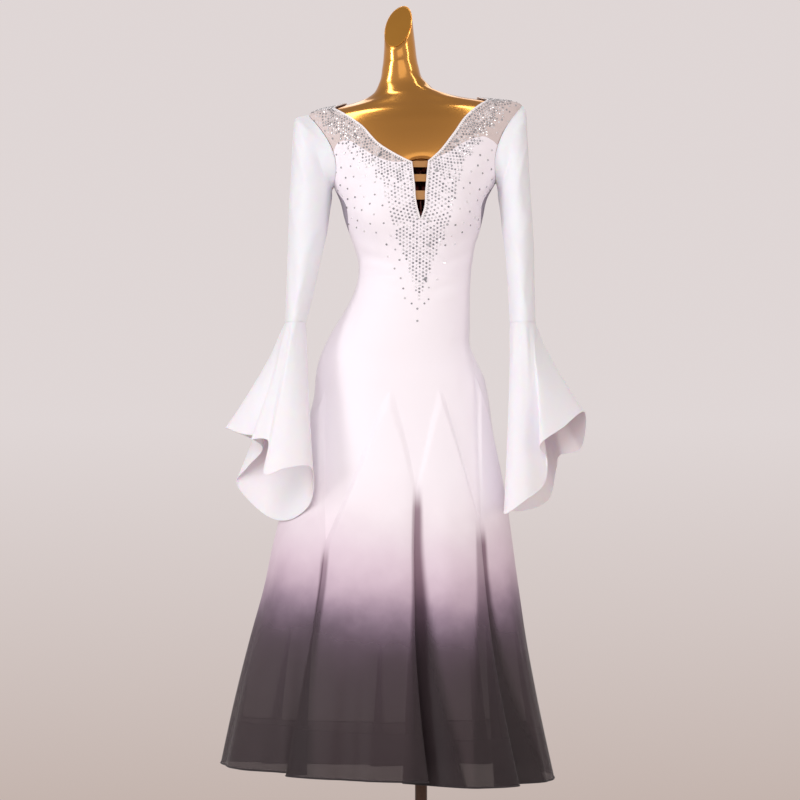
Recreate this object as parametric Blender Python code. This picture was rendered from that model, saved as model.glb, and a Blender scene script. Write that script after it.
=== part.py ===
# Ballroom dance dress on a limbless dress form.
# Metres in the scene, millimetres in the tables, +Z up, the wearer's front towards -Y.
# The origin is the middle of the base plate's underside, on the floor.
import math

import bmesh
import bpy
import numpy as np
from mathutils.geometry import delaunay_2d_cdt

MM = 0.001

# Cloth walls and the gaps between them
KNIT = 1.3            # bodice, hip and yoke wall
CHIFFON = 1.2         # godet, sleeve and flounce wall
SEAM_GAP = 0.28       # each edge is drawn back by this from its seam line
PANEL_GRID = 26.0     # spacing of a fitted panel's inner points
YOKE_GRID = 13.0      # closer over the shoulders
INSET_GRID = 12.0
HIP_GRID = 30.0
SEAM_STEP = 15.0      # spacing of points along a seam
SAME_POINT = 0.5      # points of an outline closer than this are one
DEGREE = 2.4          # length of a degree round the bodice, for spacing its points
HUNDREDTH = 1.1       # length of a hundredth of a godet's width, for spacing the hips' points

# Trunk of the dress, ring by ring: a ring is at one height low down, and bends over the shoulders
# higher up. Columns: level, middle x, half width, height at the side, front y, height at the front,
# back y, height at the back, drop between side and front.
TRUNK = (
    (230, -63, 307, 230, -275, 230, 274, 230, 0),
    (385, -63, 273, 385, -238, 385, 240, 385, 0),
    (487, -60, 250, 487, -212, 487, 214, 487, 0),
    (583, -54, 229, 583, -186, 583, 190, 583, 0),
    (644, -52, 217, 644, -171, 644, 176, 644, 0),
    (709, -48, 202, 709, -155, 709, 162, 709, 0),
    (802, -42, 180, 802, -131, 802, 142, 802, 0),
    (867, -39, 167, 867, -117, 867, 129, 867, 0),
    (925, -36, 156, 925, -107, 925, 118, 925, 0),
    (953, -38, 152, 953, -104, 953, 114, 953, 0),
    (981, -42, 143, 981, -100, 981, 109, 981, 0),
    (1014, -42, 130, 1014, -97, 1014, 103, 1014, 0),
    (1044, -34, 122, 1044, -93, 1044, 97, 1044, 0),
    (1073, -25, 113, 1073, -89, 1073, 90, 1073, 0),
    (1099, -18, 106, 1099, -86, 1099, 84, 1099, 0),
    (1125, -13, 102, 1125, -84, 1125, 81, 1125, 0),
    (1146, -11, 101, 1146, -84, 1146, 81, 1146, 0),
    (1166, -10, 103, 1166, -86, 1166, 84, 1166, 0),
    (1192, -12, 109, 1192, -91, 1192, 88, 1192, 0),
    (1218, -12, 118, 1218, -97, 1218, 92, 1218, 0),
    (1243, -13, 125, 1243, -101, 1243, 96, 1243, 0),
    (1273, -13, 132, 1273, -104, 1273, 99, 1273, 0),
    (1303, -11, 146, 1303, -104, 1303, 101, 1304, 0),
    (1340, -10, 158, 1339, -99, 1340, 104, 1344, 0),
    (1372, -10, 172, 1371, -92, 1374, 104, 1380, 0),
    (1400, -10, 185, 1399, -83, 1402, 101, 1412, 0),
    (1422, -10, 192, 1420, -74, 1425, 93, 1436, 1),
    (1436, -10, 194, 1433, -65, 1441, 84, 1450, 2),
    (1446, -10, 188, 1441, -57, 1451, 76, 1459, 4),
    (1456, -11, 168, 1447, -50, 1459, 68, 1467, 6),
    (1466, -14, 140, 1451, -45, 1465, 61, 1474, 7),
    (1476, -17, 112, 1455, -41, 1471, 55, 1480, 6),
    (1486, -22, 84, 1461, -38, 1478, 51, 1487, 4),
    (1496, -28, 61, 1470, -35, 1487, 48, 1495, 2),
    (1510, -34, 44, 1488, -33, 1501, 44, 1507, 0),
    (1530, -37, 36, 1515, -32, 1522, 38, 1527, 0),
    (1560, -39, 31, 1553, -31, 1554, 32, 1556, 0),
    (1589, -41, 28, 1589, -29, 1589, 27, 1589, 0),
)
FULLNESS = 0.94       # below 1 squares the rings a little
SHOULDER_TILT = 0.045  # rise for each mm towards +X, over the shoulders
NECK_CUT = (0.5, 1.42)  # slope of the neck's slanted cut along x and y

# Soft fullness pressed out of the trunk. Columns: middle angle, middle level, height, spread in
# degrees, spread in level.
FULL_PLACES = (
    (-123, 1238, 15, 20, 40),
    (-57, 1238, 15, 20, 40),
    (58, 945, 13, 24, 55),
    (122, 945, 13, 24, 55),
)

# Skirt: eight godets from valley to valley. Columns: angle of the valley at its low angle, level
# where the hip panel's point ends there, depth of the valley at the hem, overlap in degrees (above
# 0 the godet before it lies over the next one), level of the godet's top, place of that top between
# its valleys.
GODETS = (
    (-177, 680, 32, -3.0, 930, 0.45),
    (-122, 663, 42, -7.5, 934, 0.60),
    (-80.5, 769, 44, 8.0, 936, 0.40),
    (-43, 698, 40, 7.5, 962, 0.35),
    (2, 690, 34, 3.0, 950, 0.50),
    (48, 700, 38, 6.0, 945, 0.50),
    (93, 740, 42, -7.0, 945, 0.50),
    (138, 700, 38, 6.0, 940, 0.50),
)
GODET_COLUMNS = (0, 0.045, 0.085, 0.125, 0.18, 0.26, 0.38, 0.5, 0.62, 0.74, 0.82, 0.875, 0.915, 0.955)
GODET_ROWS = 6
# Section of a fold, in parts of a godet's width from the valley
RECESS_MIDDLE, RECESS_STEEP, RECESS_WIDE = 0.16, 0.19, 0.18
OVER_MIDDLE, UNDER_MIDDLE, OVER_STEEP, OVER_WIDE = 0.09, 0.10, 0.12, 0.20
ARCH = 1.35           # roundness of a godet's arched top
HEM_BAND = 80.0
BAND_THICK = 0.8
BAND_GAP = 0.4        # between the godets and the band inside them
FOLD_START = 12.0     # folds start this far above a hip point's end

# Height of the hem round the skirt. Columns: angle, level.
HEM = (
    (-180, 268), (-150, 263), (-122, 257), (-100, 252), (-80, 246), (-62, 237), (-43, 236),
    (-15, 240), (10, 248), (45, 249), (90, 240), (135, 249), (180, 268),
)

# Levels of the cross seams
WAIST = 1133.0
ARMHOLE_MIDDLE = 1372.0
ARMHOLE_HALF_HEIGHT = 69.0
ARMHOLE_HALF_ANGLE = 30.0
INSET_END = 1212.0    # lower end of the net inset under the arm
INSET_FRONT_ANGLE = 21.0
INSET_BACK_ANGLE = 13.0

# Front neckline and the slit below it, seen from the front. Columns: x, z.
NECKLINE_LEFT = ((-16, 1334), (-45, 1349), (-74, 1368), (-107, 1404))
NECKLINE_RIGHT = ((12, 1336), (35, 1358), (56, 1386), (77, 1417))
SLIT_LEFT = ((-16, 1334), (-14, 1318), (-11, 1292), (-7, 1255), (-1, 1233))
SLIT_RIGHT = ((12, 1336), (9.5, 1313), (7, 1284), (5.5, 1255), (-1, 1233))
# Curved seam between the net yoke and the bodice, from the armhole to the neckline
YOKE_SEAM_LEFT = ((-148, 1372), (-128, 1374), (-107, 1361), (-86, 1347), (-52, 1334))
YOKE_SEAM_RIGHT = ((127, 1376), (110, 1382), (93, 1378), (76, 1370), (48, 1351))
# Back neckline and yoke seam on the wearer's right half, as degrees past the side and level
BACK_NECKLINE = ((24, 1463), (52, 1438), (76, 1412), (84, 1404))
BACK_YOKE_SEAM = ((72, 1396), (54, 1380), (40, 1374))
NECK_AT_SHOULDER = 1474.0
CORNER_FRONT = 98.0   # place of the yoke's corners round the armhole, in degrees from its top
CORNER_BACK = 90.0

BINDING_EDGE = 0.5    # the binding starts this far in from the panels' edge
BINDING_WIDTH = 4.5
BINDING_LIFT = 0.4
BINDING_THICK = 1.0

# Straps across the slit, behind the bodice. Columns: middle height, width of the strap.
STRAPS = ((1330, 11), (1305, 13), (1274, 16))
STRAP_REACH = 7.0
STRAP_LIFT = -2.5
STRAP_THICK = 1.0

# Sleeves, from the armhole to the seam above the flounce. Columns: outer x, outer z, inner x,
# inner z, middle y, half depth.
SLEEVE_LEFT = (
    (-203, 1435, -158, 1302, 0, 53),
    (-218, 1430, -159.5, 1297, 0, 54),
    (-228, 1421, -160.5, 1291, 0, 55),
    (-231, 1400, -161.5, 1281, -2, 56),
    (-233, 1356, -163, 1263, -6, 56),
    (-237, 1273, -167, 1228, -15, 56),
    (-239, 1200, -173, 1190, -30, 56),
    (-241, 1121, -191, 1109, -48, 56),
    (-243, 1049, -206, 1049, -62, 55),
)
SLEEVE_RIGHT = (
    (184, 1447, 135, 1303, 0, 53),
    (190, 1437, 137, 1298, 0, 54),
    (192, 1418, 138.5, 1292, 0, 55),
    (193, 1391, 140, 1281, -2, 56),
    (194, 1354, 142, 1263, -6, 56),
    (198, 1273, 145, 1228, -15, 56),
    (202, 1200, 149, 1190, -30, 56),
    (203, 1121, 155, 1109, -48, 56),
    (204, 1049, 158, 1049, -62, 55),
)
SLEEVE_COLUMNS = 16
SLEEVE_RINGS = 13
SLEEVE_BLEND = 1.3    # rows over which a sleeve passes from the armhole's shape to its own
SLEEVE_GAP = 0.9      # between the bodice's armhole and the sleeve's first ring

# Hem of each flounce, lobe by lobe round its loop. Columns: x, y, z.
FLOUNCE_LEFT = (
    (-347, -75, 862), (-314, -112, 850), (-272, -122, 846), (-299, -152, 840),
    (-268, -166, 836), (-274, -200, 779), (-238, -207, 788), (-196, -188, 792),
    (-189, -148, 761), (-199, -122, 723), (-236, -82, 698), (-281, -24, 709),
    (-331, -8, 762), (-312, -34, 792), (-284, -62, 830),
)
FLOUNCE_RIGHT = (
    (290, -85, 890), (247, -140, 860), (207, -166, 830), (221, -124, 806),
    (216, -128, 762), (182, -154, 733), (148, -146, 709), (150, -92, 720),
    (177, -36, 714), (228, -2, 734), (243, -14, 790), (248, -52, 814), (286, -42, 827),
)
FLOUNCE_STEPS = 3     # columns for each row of a hem table
FLOUNCE_ROWS = 6
FLOUNCE_FOLD = 1.7    # above 1 the folds deepen late, near the hem
FLOUNCE_TURN = -20.0  # degrees from the seam's outer point to the first hem row

# Form and stand
FORM_SEGMENTS = 28
FORM_BOTTOM = 815.0
# How far the form lies inside the cloth's outer surface: least where the yokes rest on the
# shoulders. Columns: level, inset.
FORM_INSET = ((935, 6.5), (975, 4.8), (1446, 5.0), (1456, 3.2), (1466, 2.4), (1484, 2.4), (1495, 3.0))
# How far the form draws in at its lower end. Columns: level, inset.
FORM_LOWER = ((815, 66), (822, 48), (836, 34), (860, 24), (895, 14), (935, 6.5))
POLE_RADIUS = 11.0
POLE_FOOT = 46.0
COLLAR_RADIUS = 24.0
COLLAR_HEIGHT = 34.0
BASE_RADIUS = 165.0
BASE_THICK = 12.0

LEFT, RIGHT = -1, 1
SIDE_ANGLE = {LEFT: -177.0, RIGHT: 2.0}


def smooth_rows(table, key):
    """Columns of a table at a key, on a smooth curve through its rows."""
    data = np.array(table, dtype=float)
    keys = data[:, 0]
    slopes = np.gradient(data, keys, axis=0)
    key = np.clip(key, keys[0], keys[-1])
    low = np.clip(np.searchsorted(keys, key) - 1, 0, len(keys) - 2)
    span = keys[low + 1] - keys[low]
    t = ((key - keys[low]) / span)[..., None]
    span = span[..., None]
    first = (2 * t**3 - 3 * t**2 + 1) * data[low] + (t**3 - 2 * t**2 + t) * span * slopes[low]
    second = (3 * t**2 - 2 * t**3) * data[low + 1] + (t**3 - t**2) * span * slopes[low + 1]
    return first + second


def ramp(value, low, high):
    """0 below low, 1 above high, with an easy curve between."""
    t = np.clip((value - low) / (high - low), 0, 1)
    return t * t * (3 - 2 * t)


def bump(value, middle, steep, wide):
    """Bell of height 1, steep before its middle and wide after it."""
    away = value - middle
    return np.exp(-(away / np.where(away < 0, steep, wide)) ** 2)


def power(value, exponent):
    """Power that keeps the sign."""
    return np.sign(value) * np.abs(value) ** exponent


def unit(vectors):
    """Vectors made one long."""
    return vectors / np.linalg.norm(vectors, axis=-1, keepdims=True)


def trunk(angle, level):
    """Point of the trunk's outer surface, in mm. -90 degrees is the front, 0 is +X."""
    angle = np.asarray(angle, dtype=float)
    level = np.asarray(level, dtype=float)
    row = np.moveaxis(smooth_rows(TRUNK, level), -1, 0)
    middle, half, side_z, front, front_z, back, back_z, drop = row[1:]
    turn = np.radians(angle)
    across, along = np.cos(turn), np.sin(turn)
    to_front = along < 0
    x = middle + half * power(across, FULLNESS)
    y = np.where(to_front, front, back) * np.abs(along) ** FULLNESS
    rise = np.where(to_front, front_z, back_z) - side_z
    z = side_z + rise * np.abs(along) ** 1.6 - drop * np.sin(2 * turn) ** 2
    for place, place_level, height, spread, level_spread in FULL_PLACES:
        away = (angle - place + 180) % 360 - 180
        push = height * np.exp(-(away / spread) ** 2 - ((level - place_level) / level_spread) ** 2)
        x = x + push * across
        y = y + push * along
    z = z + SHOULDER_TILT * ramp(level, 1150, 1400) * ramp(-level, -1530, -1480) * (x - middle)
    slope_x, slope_y = NECK_CUT
    z = z + ramp(level, 1520, 1589) * (slope_x * (x - middle) + slope_y * y)
    return np.stack(np.broadcast_arrays(x, y, z), axis=-1)


def hem_level(angle):
    """Level of the skirt's hem at an angle."""
    return smooth_rows(HEM, (np.asarray(angle, dtype=float) + 180) % 360 - 180)[..., 1]


def godet_column(place, column):
    """Value of a godet table column for the valley nearest to a place round the skirt."""
    values = np.array([row[column] for row in GODETS])
    return values[np.round(place).astype(int) % len(GODETS)]


def skirt_angle(place):
    """Angle of a place round the skirt. Whole places are valleys."""
    count = len(GODETS)
    knots = [(i, GODETS[i % count][0] + 360 * (i // count)) for i in range(-count, 3 * count)]
    return smooth_rows(knots, np.asarray(place, dtype=float))[..., 1]


def skirt(place, level):
    """Point of the skirt and hip surface in mm, with its folds."""
    place = np.asarray(place, dtype=float)
    level = np.asarray(level, dtype=float)
    away = place - np.round(place)
    depth = godet_column(place, 2)
    overlap = godet_column(place, 3)
    start = godet_column(place, 1) + FOLD_START
    fall = np.clip((start - level) / (start - 250), 0, 1.1)
    fall = fall * ramp(fall, -0.1, 0.18)
    side = np.sign(overlap)
    fade = 1 - (2 * np.abs(away)) ** 4
    recess = fade * bump(away * side, RECESS_MIDDLE, RECESS_STEEP, RECESS_WIDE)
    over = bump(-away * side, OVER_MIDDLE, OVER_STEEP, OVER_WIDE)
    over = over - bump(away * side, UNDER_MIDDLE, OVER_STEEP, OVER_WIDE)
    turned = skirt_angle(place) + overlap * fall * fade * over
    point = trunk(turned, level)
    middle = smooth_rows(TRUNK, level)[..., 1]
    out = np.stack(np.broadcast_arrays(point[..., 0] - middle, point[..., 1], 0 * level), axis=-1)
    return point - unit(out) * (depth * fall ** 0.9 * recess)[..., None]


def godet_top(place):
    """Level of the seam between the hip panel and the godets: arches with points between them."""
    place = np.asarray(place, dtype=float)
    low = np.floor(place).astype(int)
    part = place - low
    count = len(GODETS)
    level = np.zeros_like(place)
    for i, row in enumerate(GODETS):
        start, end = row[1], GODETS[(i + 1) % count][1]
        top, middle = row[4], row[5]
        before = part < middle
        away = np.where(before, (middle - part) / middle, (part - middle) / (1 - middle))
        arch = top - (top - np.where(before, start, end)) * away ** ARCH
        level = np.where(low % count == i, arch, level)
    return level


def surface_normals(surface, first, second):
    """Outward unit normals of surface(first, second)."""
    step = 0.05
    along = surface(first + step, second) - surface(first - step, second)
    up = surface(first, second + step) - surface(first, second - step)
    return unit(np.cross(along, up))


def hip_surface(fine_place, level):
    """The skirt surface with its place given in hundredths, so both values have like steps."""
    return skirt(fine_place / 100, level)


def front_place(x, z, near=-90.0):
    """Angle and level of the point of the trunk's front seen at x, z."""
    angle, level = near, float(z)
    for _ in range(60):
        found = trunk(angle, level)
        slope = (trunk(angle + 0.1, level)[0] - found[0]) / 0.1
        angle += 0.7 * (x - found[0]) / max(slope, 0.3)
        angle = min(max(angle, -176.0), -4.0)
        level += 0.7 * (z - found[2])
    return angle, level


def resample(points, step):
    """Even steps along a smooth curve through points of angle and level."""
    points = np.array(points, dtype=float)
    scale = (DEGREE, 1.0)
    chord = np.linalg.norm(np.diff(points, axis=0) * scale, axis=1)
    reach = np.concatenate([[0], np.cumsum(chord)])
    table = np.column_stack([reach, points])
    dense = smooth_rows(table, np.linspace(0, reach[-1], 200))[:, 1:]
    length = np.concatenate([[0], np.cumsum(np.linalg.norm(np.diff(dense, axis=0) * scale, axis=1))])
    marks = np.linspace(0, length[-1], max(2, round(length[-1] / step)) + 1)
    return np.column_stack([np.interp(marks, length, dense[:, i]) for i in range(2)])


def material(name, colour, roughness, metallic=0.0):
    """Plain finish of one piece."""
    made = bpy.data.materials.new(name)
    made.use_nodes = True
    shader = made.node_tree.nodes["Principled BSDF"]
    shader.inputs["Base Color"].default_value = (*colour, 1.0)
    shader.inputs["Roughness"].default_value = roughness
    shader.inputs["Metallic"].default_value = metallic
    return made


def add_object(name, verts, faces, finish, parent, smooth_angle=40.0):
    """One named piece from points in mm."""
    mesh = bpy.data.meshes.new(name)
    mesh.from_pydata([tuple(v * MM for v in vert) for vert in verts], [], faces)
    shape = bmesh.new()
    shape.from_mesh(mesh)
    bmesh.ops.recalc_face_normals(shape, faces=shape.faces)
    shape.to_mesh(mesh)
    shape.free()
    mesh.shade_smooth()
    mesh.set_sharp_from_angle(angle=math.radians(smooth_angle))
    mesh.materials.append(finish)
    piece = bpy.data.objects.new(name, mesh)
    piece.parent = parent
    bpy.context.scene.collection.objects.link(piece)
    return piece


def wall_faces(faces, rim, count):
    """Faces of a wall: the outer skin, the inner skin, and the strip round the rim."""
    inner = [tuple(i + count for i in reversed(face)) for face in faces]
    edge = [(a, a + count, b + count, b) for a, b in zip(rim, rim[1:] + rim[:1])]
    return list(faces) + inner + edge


def fitted_panel(name, surface, outline, finish, parent, thick=KNIT, grid=PANEL_GRID, scale=DEGREE):
    """Wall cut to an outline of (first, second) values on a surface."""
    outline = np.array(outline, dtype=float)
    flat = outline * (scale, 1.0)
    low, high = flat.min(axis=0), flat.max(axis=0)
    inside = []
    for row, second in enumerate(np.arange(low[1] + grid / 2, high[1], grid)):
        shift = grid / 2 if row % 2 else 0
        for first in np.arange(low[0] + shift, high[0], grid):
            if point_inside(flat, first, second) and rim_distance(flat, first, second) > 0.5 * grid:
                inside.append((first, second))
    points = [tuple(p) for p in flat] + inside
    edges = [(i, (i + 1) % len(flat)) for i in range(len(flat))]
    made = delaunay_2d_cdt(points, edges, [], 1, 1e-5)
    flat_points = np.array([tuple(p) for p in made[0]])
    faces = [tuple(face) for face in made[2]]
    rim = list(range(len(flat)))
    values = flat_points / (scale, 1.0)
    place = surface(values[:, 0], values[:, 1])
    normals = surface_normals(surface, values[:, 0], values[:, 1])
    place = seam_edges(place, normals, rim, flat_area(flat))
    verts = np.concatenate([place, place - normals * thick])
    return add_object(name, verts, wall_faces(faces, rim, len(place)), finish, parent)


def flat_area(loop):
    """Signed area of a flat loop."""
    return 0.5 * float(np.sum(loop[:, 0] * np.roll(loop[:, 1], -1) - np.roll(loop[:, 0], -1) * loop[:, 1]))


def seam_edges(place, normals, rim, turn):
    """Draws a panel's rim back from its seam lines by the seam gap."""
    loop = place[rim]
    ahead = np.roll(loop, -1, axis=0) - loop
    behind = loop - np.roll(loop, 1, axis=0)
    inward = np.cross(normals[rim], unit(ahead) + unit(behind)) * np.sign(turn)
    inward = inward / np.maximum(np.linalg.norm(inward, axis=1, keepdims=True), 0.2)
    moved = place.copy()
    moved[rim] = loop + inward * SEAM_GAP
    return moved


def point_inside(loop, x, y):
    """Whether a flat point is inside a loop."""
    crossings = 0
    for (x1, y1), (x2, y2) in zip(loop, np.roll(loop, -1, axis=0)):
        if (y1 > y) != (y2 > y) and x < x1 + (y - y1) * (x2 - x1) / (y2 - y1):
            crossings += 1
    return crossings % 2 == 1


def rim_distance(loop, x, y):
    """Shortest way from a flat point to a loop."""
    start, end = loop, np.roll(loop, -1, axis=0)
    along = end - start
    part = ((np.array([x, y]) - start) * along).sum(axis=1) / np.maximum((along ** 2).sum(axis=1), 1e-9)
    nearest = start + along * np.clip(part, 0, 1)[:, None]
    return float(np.min(np.linalg.norm(nearest - (x, y), axis=1)))


def halves(points, *corners):
    """Two triangles of a grid's four-cornered face, split along its shorter diagonal."""
    a, b, c, d = [row * points.shape[1] + column for row, column in corners]
    place = [points[corner] for corner in corners]
    if np.linalg.norm(place[0] - place[2]) <= np.linalg.norm(place[1] - place[3]):
        return [(a, b, c), (a, c, d)]
    return [(a, b, d), (b, c, d)]


def wall_grid(name, points, normals, thick, finish, parent, closed):
    """Wall over rows and columns of points, open at its first and last row."""
    rows, columns = points.shape[:2]
    verts = np.concatenate([points.reshape(-1, 3), (points - normals * thick).reshape(-1, 3)])
    across = columns if closed else columns - 1
    faces = []
    for r in range(rows - 1):
        for c in range(across):
            d = (c + 1) % columns
            faces += halves(points, (r, c), (r, d), (r + 1, d), (r + 1, c))
    count = rows * columns
    if closed:
        made = list(faces) + [tuple(i + count for i in reversed(face)) for face in faces]
        for start in (0, (rows - 1) * columns):
            ring = [start + c for c in range(columns)]
            made += [(a, a + count, b + count, b) for a, b in zip(ring, ring[1:] + ring[:1])]
        return add_object(name, verts, made, finish, parent)
    rim = [c for c in range(columns)]
    rim += [r * columns + columns - 1 for r in range(1, rows)]
    rim += [(rows - 1) * columns + c for c in range(columns - 2, -1, -1)]
    rim += [r * columns for r in range(rows - 2, 0, -1)]
    return add_object(name, verts, wall_faces(faces, rim, count), finish, parent)


def tube_normals(points, side):
    """Outward normals of a closed grid whose rows run downwards."""
    along = np.roll(points, -1, axis=1) - np.roll(points, 1, axis=1)
    down = np.gradient(points, axis=0)
    return unit(np.cross(down, along) * side)


def armhole(side, turn):
    """Angle and level on the armhole, at degrees from its top towards the front."""
    turn = np.radians(turn)
    level = ARMHOLE_MIDDLE + ARMHOLE_HALF_HEIGHT * np.cos(turn)
    toward_front = ARMHOLE_HALF_ANGLE * np.sin(turn)
    if side == LEFT:
        return np.column_stack([-180 + toward_front, level])
    return np.column_stack([0 - toward_front, level])


def side_front(side, values):
    """Angles given as degrees past the side towards the back, for one side of the body."""
    return [(-180 - past, level) if side == LEFT else (past, level) for past, level in values]


def seam_lines(side):
    """The seam and edge lines of one side of the bodice, as angle and level."""
    neck_rows = NECKLINE_LEFT if side == LEFT else NECKLINE_RIGHT
    seam_rows = YOKE_SEAM_LEFT if side == LEFT else YOKE_SEAM_RIGHT
    slit_rows = SLIT_LEFT if side == LEFT else SLIT_RIGHT
    side_angle = -180.0 if side == LEFT else 0.0
    near = -120.0 if side == LEFT else -60.0
    lines = {}
    neck = [front_place(x, z, near) for x, z in neck_rows]
    ridge = [(side_angle, NECK_AT_SHOULDER)]
    lines["neckline"] = resample(neck + ridge + side_front(side, BACK_NECKLINE), SEAM_STEP)
    lines["slit"] = resample([front_place(x, z) for x, z in slit_rows], SEAM_STEP)
    arc = armhole(side, np.linspace(CORNER_FRONT, -CORNER_BACK, 13))
    lines["armhole_yoke"] = arc
    lines["armhole_front"] = armhole(side, np.linspace(CORNER_FRONT, 180, 6))
    lines["armhole_back"] = armhole(side, np.linspace(180, 360 - CORNER_BACK, 6))
    seam = [tuple(arc[0])] + [front_place(x, z, near) for x, z in seam_rows] + [neck[0]]
    lines["yoke_seam"] = resample(seam, SEAM_STEP)
    back_end = side_front(side, BACK_NECKLINE)[-1]
    back = [tuple(arc[-1])] + side_front(side, reversed(BACK_YOKE_SEAM)) + [back_end]
    lines["back_seam"] = resample(back, SEAM_STEP)
    pit = ARMHOLE_MIDDLE - ARMHOLE_HALF_HEIGHT
    seam_angle = SIDE_ANGLE[side]
    levels = np.linspace(pit, INSET_END, 7)
    bulge = np.sin(np.pi * np.linspace(0, 1, 7))
    to_seam = np.linspace(side_angle, seam_angle, 7)
    lines["inset_front"] = np.column_stack([to_seam - side * bulge * INSET_FRONT_ANGLE, levels])
    lines["inset_back"] = np.column_stack([to_seam + side * bulge * INSET_BACK_ANGLE, levels])
    lines["side"] = np.column_stack([np.full(6, seam_angle), np.linspace(INSET_END, WAIST, 6)])
    return lines


def waist_places():
    """Places round the waist seam, the same for the bodice and the hip panels."""
    return np.concatenate([[i + j / 4 for j in range(4)] for i in range(len(GODETS))])


def join(*lines):
    """One outline from lines that follow each other, with shared ends kept once."""
    loop = []
    for line in lines:
        for point in line:
            if not loop or np.linalg.norm((np.array(point) - loop[-1]) * (DEGREE, 1)) > SAME_POINT:
                loop.append(np.array(point))
    if np.linalg.norm((loop[0] - loop[-1]) * (DEGREE, 1)) < SAME_POINT:
        loop.pop()
    return loop


def add_bodice(parent, knit, net, inset_net):
    """Bodice front and back, the net yokes over the shoulders and the insets under the arms."""
    left, right = seam_lines(LEFT), seam_lines(RIGHT)
    places = waist_places()
    front_waist = [(skirt_angle(p), WAIST) for p in places if p <= 4] + [(skirt_angle(4.0), WAIST)]
    back_waist = [(skirt_angle(p), WAIST) for p in places if p >= 4] + [(skirt_angle(8.0), WAIST)]
    front = join(
        front_waist, right["side"][::-1], right["inset_front"][::-1], right["armhole_front"][::-1],
        right["yoke_seam"], right["slit"], left["slit"][::-1], left["yoke_seam"][::-1],
        left["armhole_front"], left["inset_front"], left["side"],
    )
    fitted_panel("bodice_front", trunk, front, knit, parent)
    turn = np.array([360.0, 0.0])
    back_neck = np.array([right["neckline"][-1], left["neckline"][-1] + turn])
    back = join(
        back_waist, left["side"][::-1] + turn, left["inset_back"][::-1] + turn,
        left["armhole_back"] + turn, left["back_seam"] + turn, back_neck[::-1],
        right["back_seam"][::-1], right["armhole_back"][::-1], right["inset_back"], right["side"],
    )
    fitted_panel("bodice_back", trunk, back, knit, parent)
    for name, side, lines in (("left", LEFT, left), ("right", RIGHT, right)):
        yoke = join(
            lines["yoke_seam"][::-1], lines["armhole_yoke"], lines["back_seam"],
            lines["neckline"][::-1],
        )
        fitted_panel("yoke_" + name, trunk, yoke, net, parent, grid=YOKE_GRID)
        inset = join(lines["inset_front"], lines["inset_back"][::-1])
        fitted_panel("side_inset_" + name, trunk, inset, inset_net, parent, grid=INSET_GRID)
    return left, right


def add_binding(left, right, finish, parent):
    """Narrow band round the neckline and the slit, laid on the panels' edges."""
    turn = np.array([360.0, 0.0])
    path = np.array(join(
        left["slit"][::-1], left["neckline"], right["neckline"][::-1] - turn, right["slit"] - turn,
    ))
    place = trunk(path[:, 0], path[:, 1])
    normals = surface_normals(trunk, path[:, 0], path[:, 1])
    along = np.roll(place, -1, axis=0) - np.roll(place, 1, axis=0)
    across = unit(np.cross(normals, along))
    edge = place + across * BINDING_EDGE
    far = place + across * (BINDING_EDGE + BINDING_WIDTH)
    rings = []
    for base, lift in ((edge, 0), (far, 0), (far, BINDING_THICK), (edge, BINDING_THICK)):
        rings.append(base + normals * (BINDING_LIFT + lift))
    verts = np.stack(rings, axis=1).reshape(-1, 3)
    faces = []
    count = len(path)
    for i in range(count):
        a, b = 4 * i, 4 * ((i + 1) % count)
        faces += [(a + k, a + (k + 1) % 4, b + (k + 1) % 4, b + k) for k in range(4)]
    add_object("neck_binding", verts, faces, finish, parent)


def add_straps(finish, parent):
    """Three flat elastic straps across the slit, behind its edges."""
    for number, (middle, width) in enumerate(STRAPS, 1):
        slit = {}
        for side, rows in ((LEFT, SLIT_LEFT), (RIGHT, SLIT_RIGHT)):
            heights = np.array([z for _, z in rows][::-1])
            slit[side] = float(np.interp(middle, heights, np.array([x for x, _ in rows][::-1])))
        across = np.linspace(slit[LEFT] - STRAP_REACH, slit[RIGHT] + STRAP_REACH, 6)
        rows = []
        for z in np.linspace(middle + width / 2, middle - width / 2, 3):
            rows.append([front_place(x, z) for x in across])
        values = np.array(rows)
        place = trunk(values[..., 0], values[..., 1])
        normals = surface_normals(trunk, values[..., 0], values[..., 1])
        place = place + normals * STRAP_LIFT
        wall_grid(f"slit_strap_{number}", place, normals, STRAP_THICK, finish, parent, False)


def add_hips(finish, parent):
    """Fitted hip panels, whose lower edges run in points between the godets."""
    places = waist_places()
    for name, start in (("hip_front", 0), ("hip_back", 4)):
        waist = [(p * 100, WAIST) for p in places if start <= p < start + 4] + [((start + 4) * 100, WAIST)]
        lower = [(start + i + q) for i in range(4) for q in GODET_COLUMNS] + [start + 4.0]
        seam = [(p * 100, float(godet_top(p))) for p in lower]
        sides = np.linspace(WAIST, seam[0][1], 22)[1:-1]
        left_side = [(start * 100, level) for level in sides]
        sides = np.linspace(seam[-1][1], WAIST, 22)[1:-1]
        right_side = [((start + 4) * 100, level) for level in sides]
        outline = waist[::-1] + left_side + seam + right_side
        fitted_panel(name, hip_surface, outline, finish, parent, scale=HUNDREDTH, grid=HIP_GRID)


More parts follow.
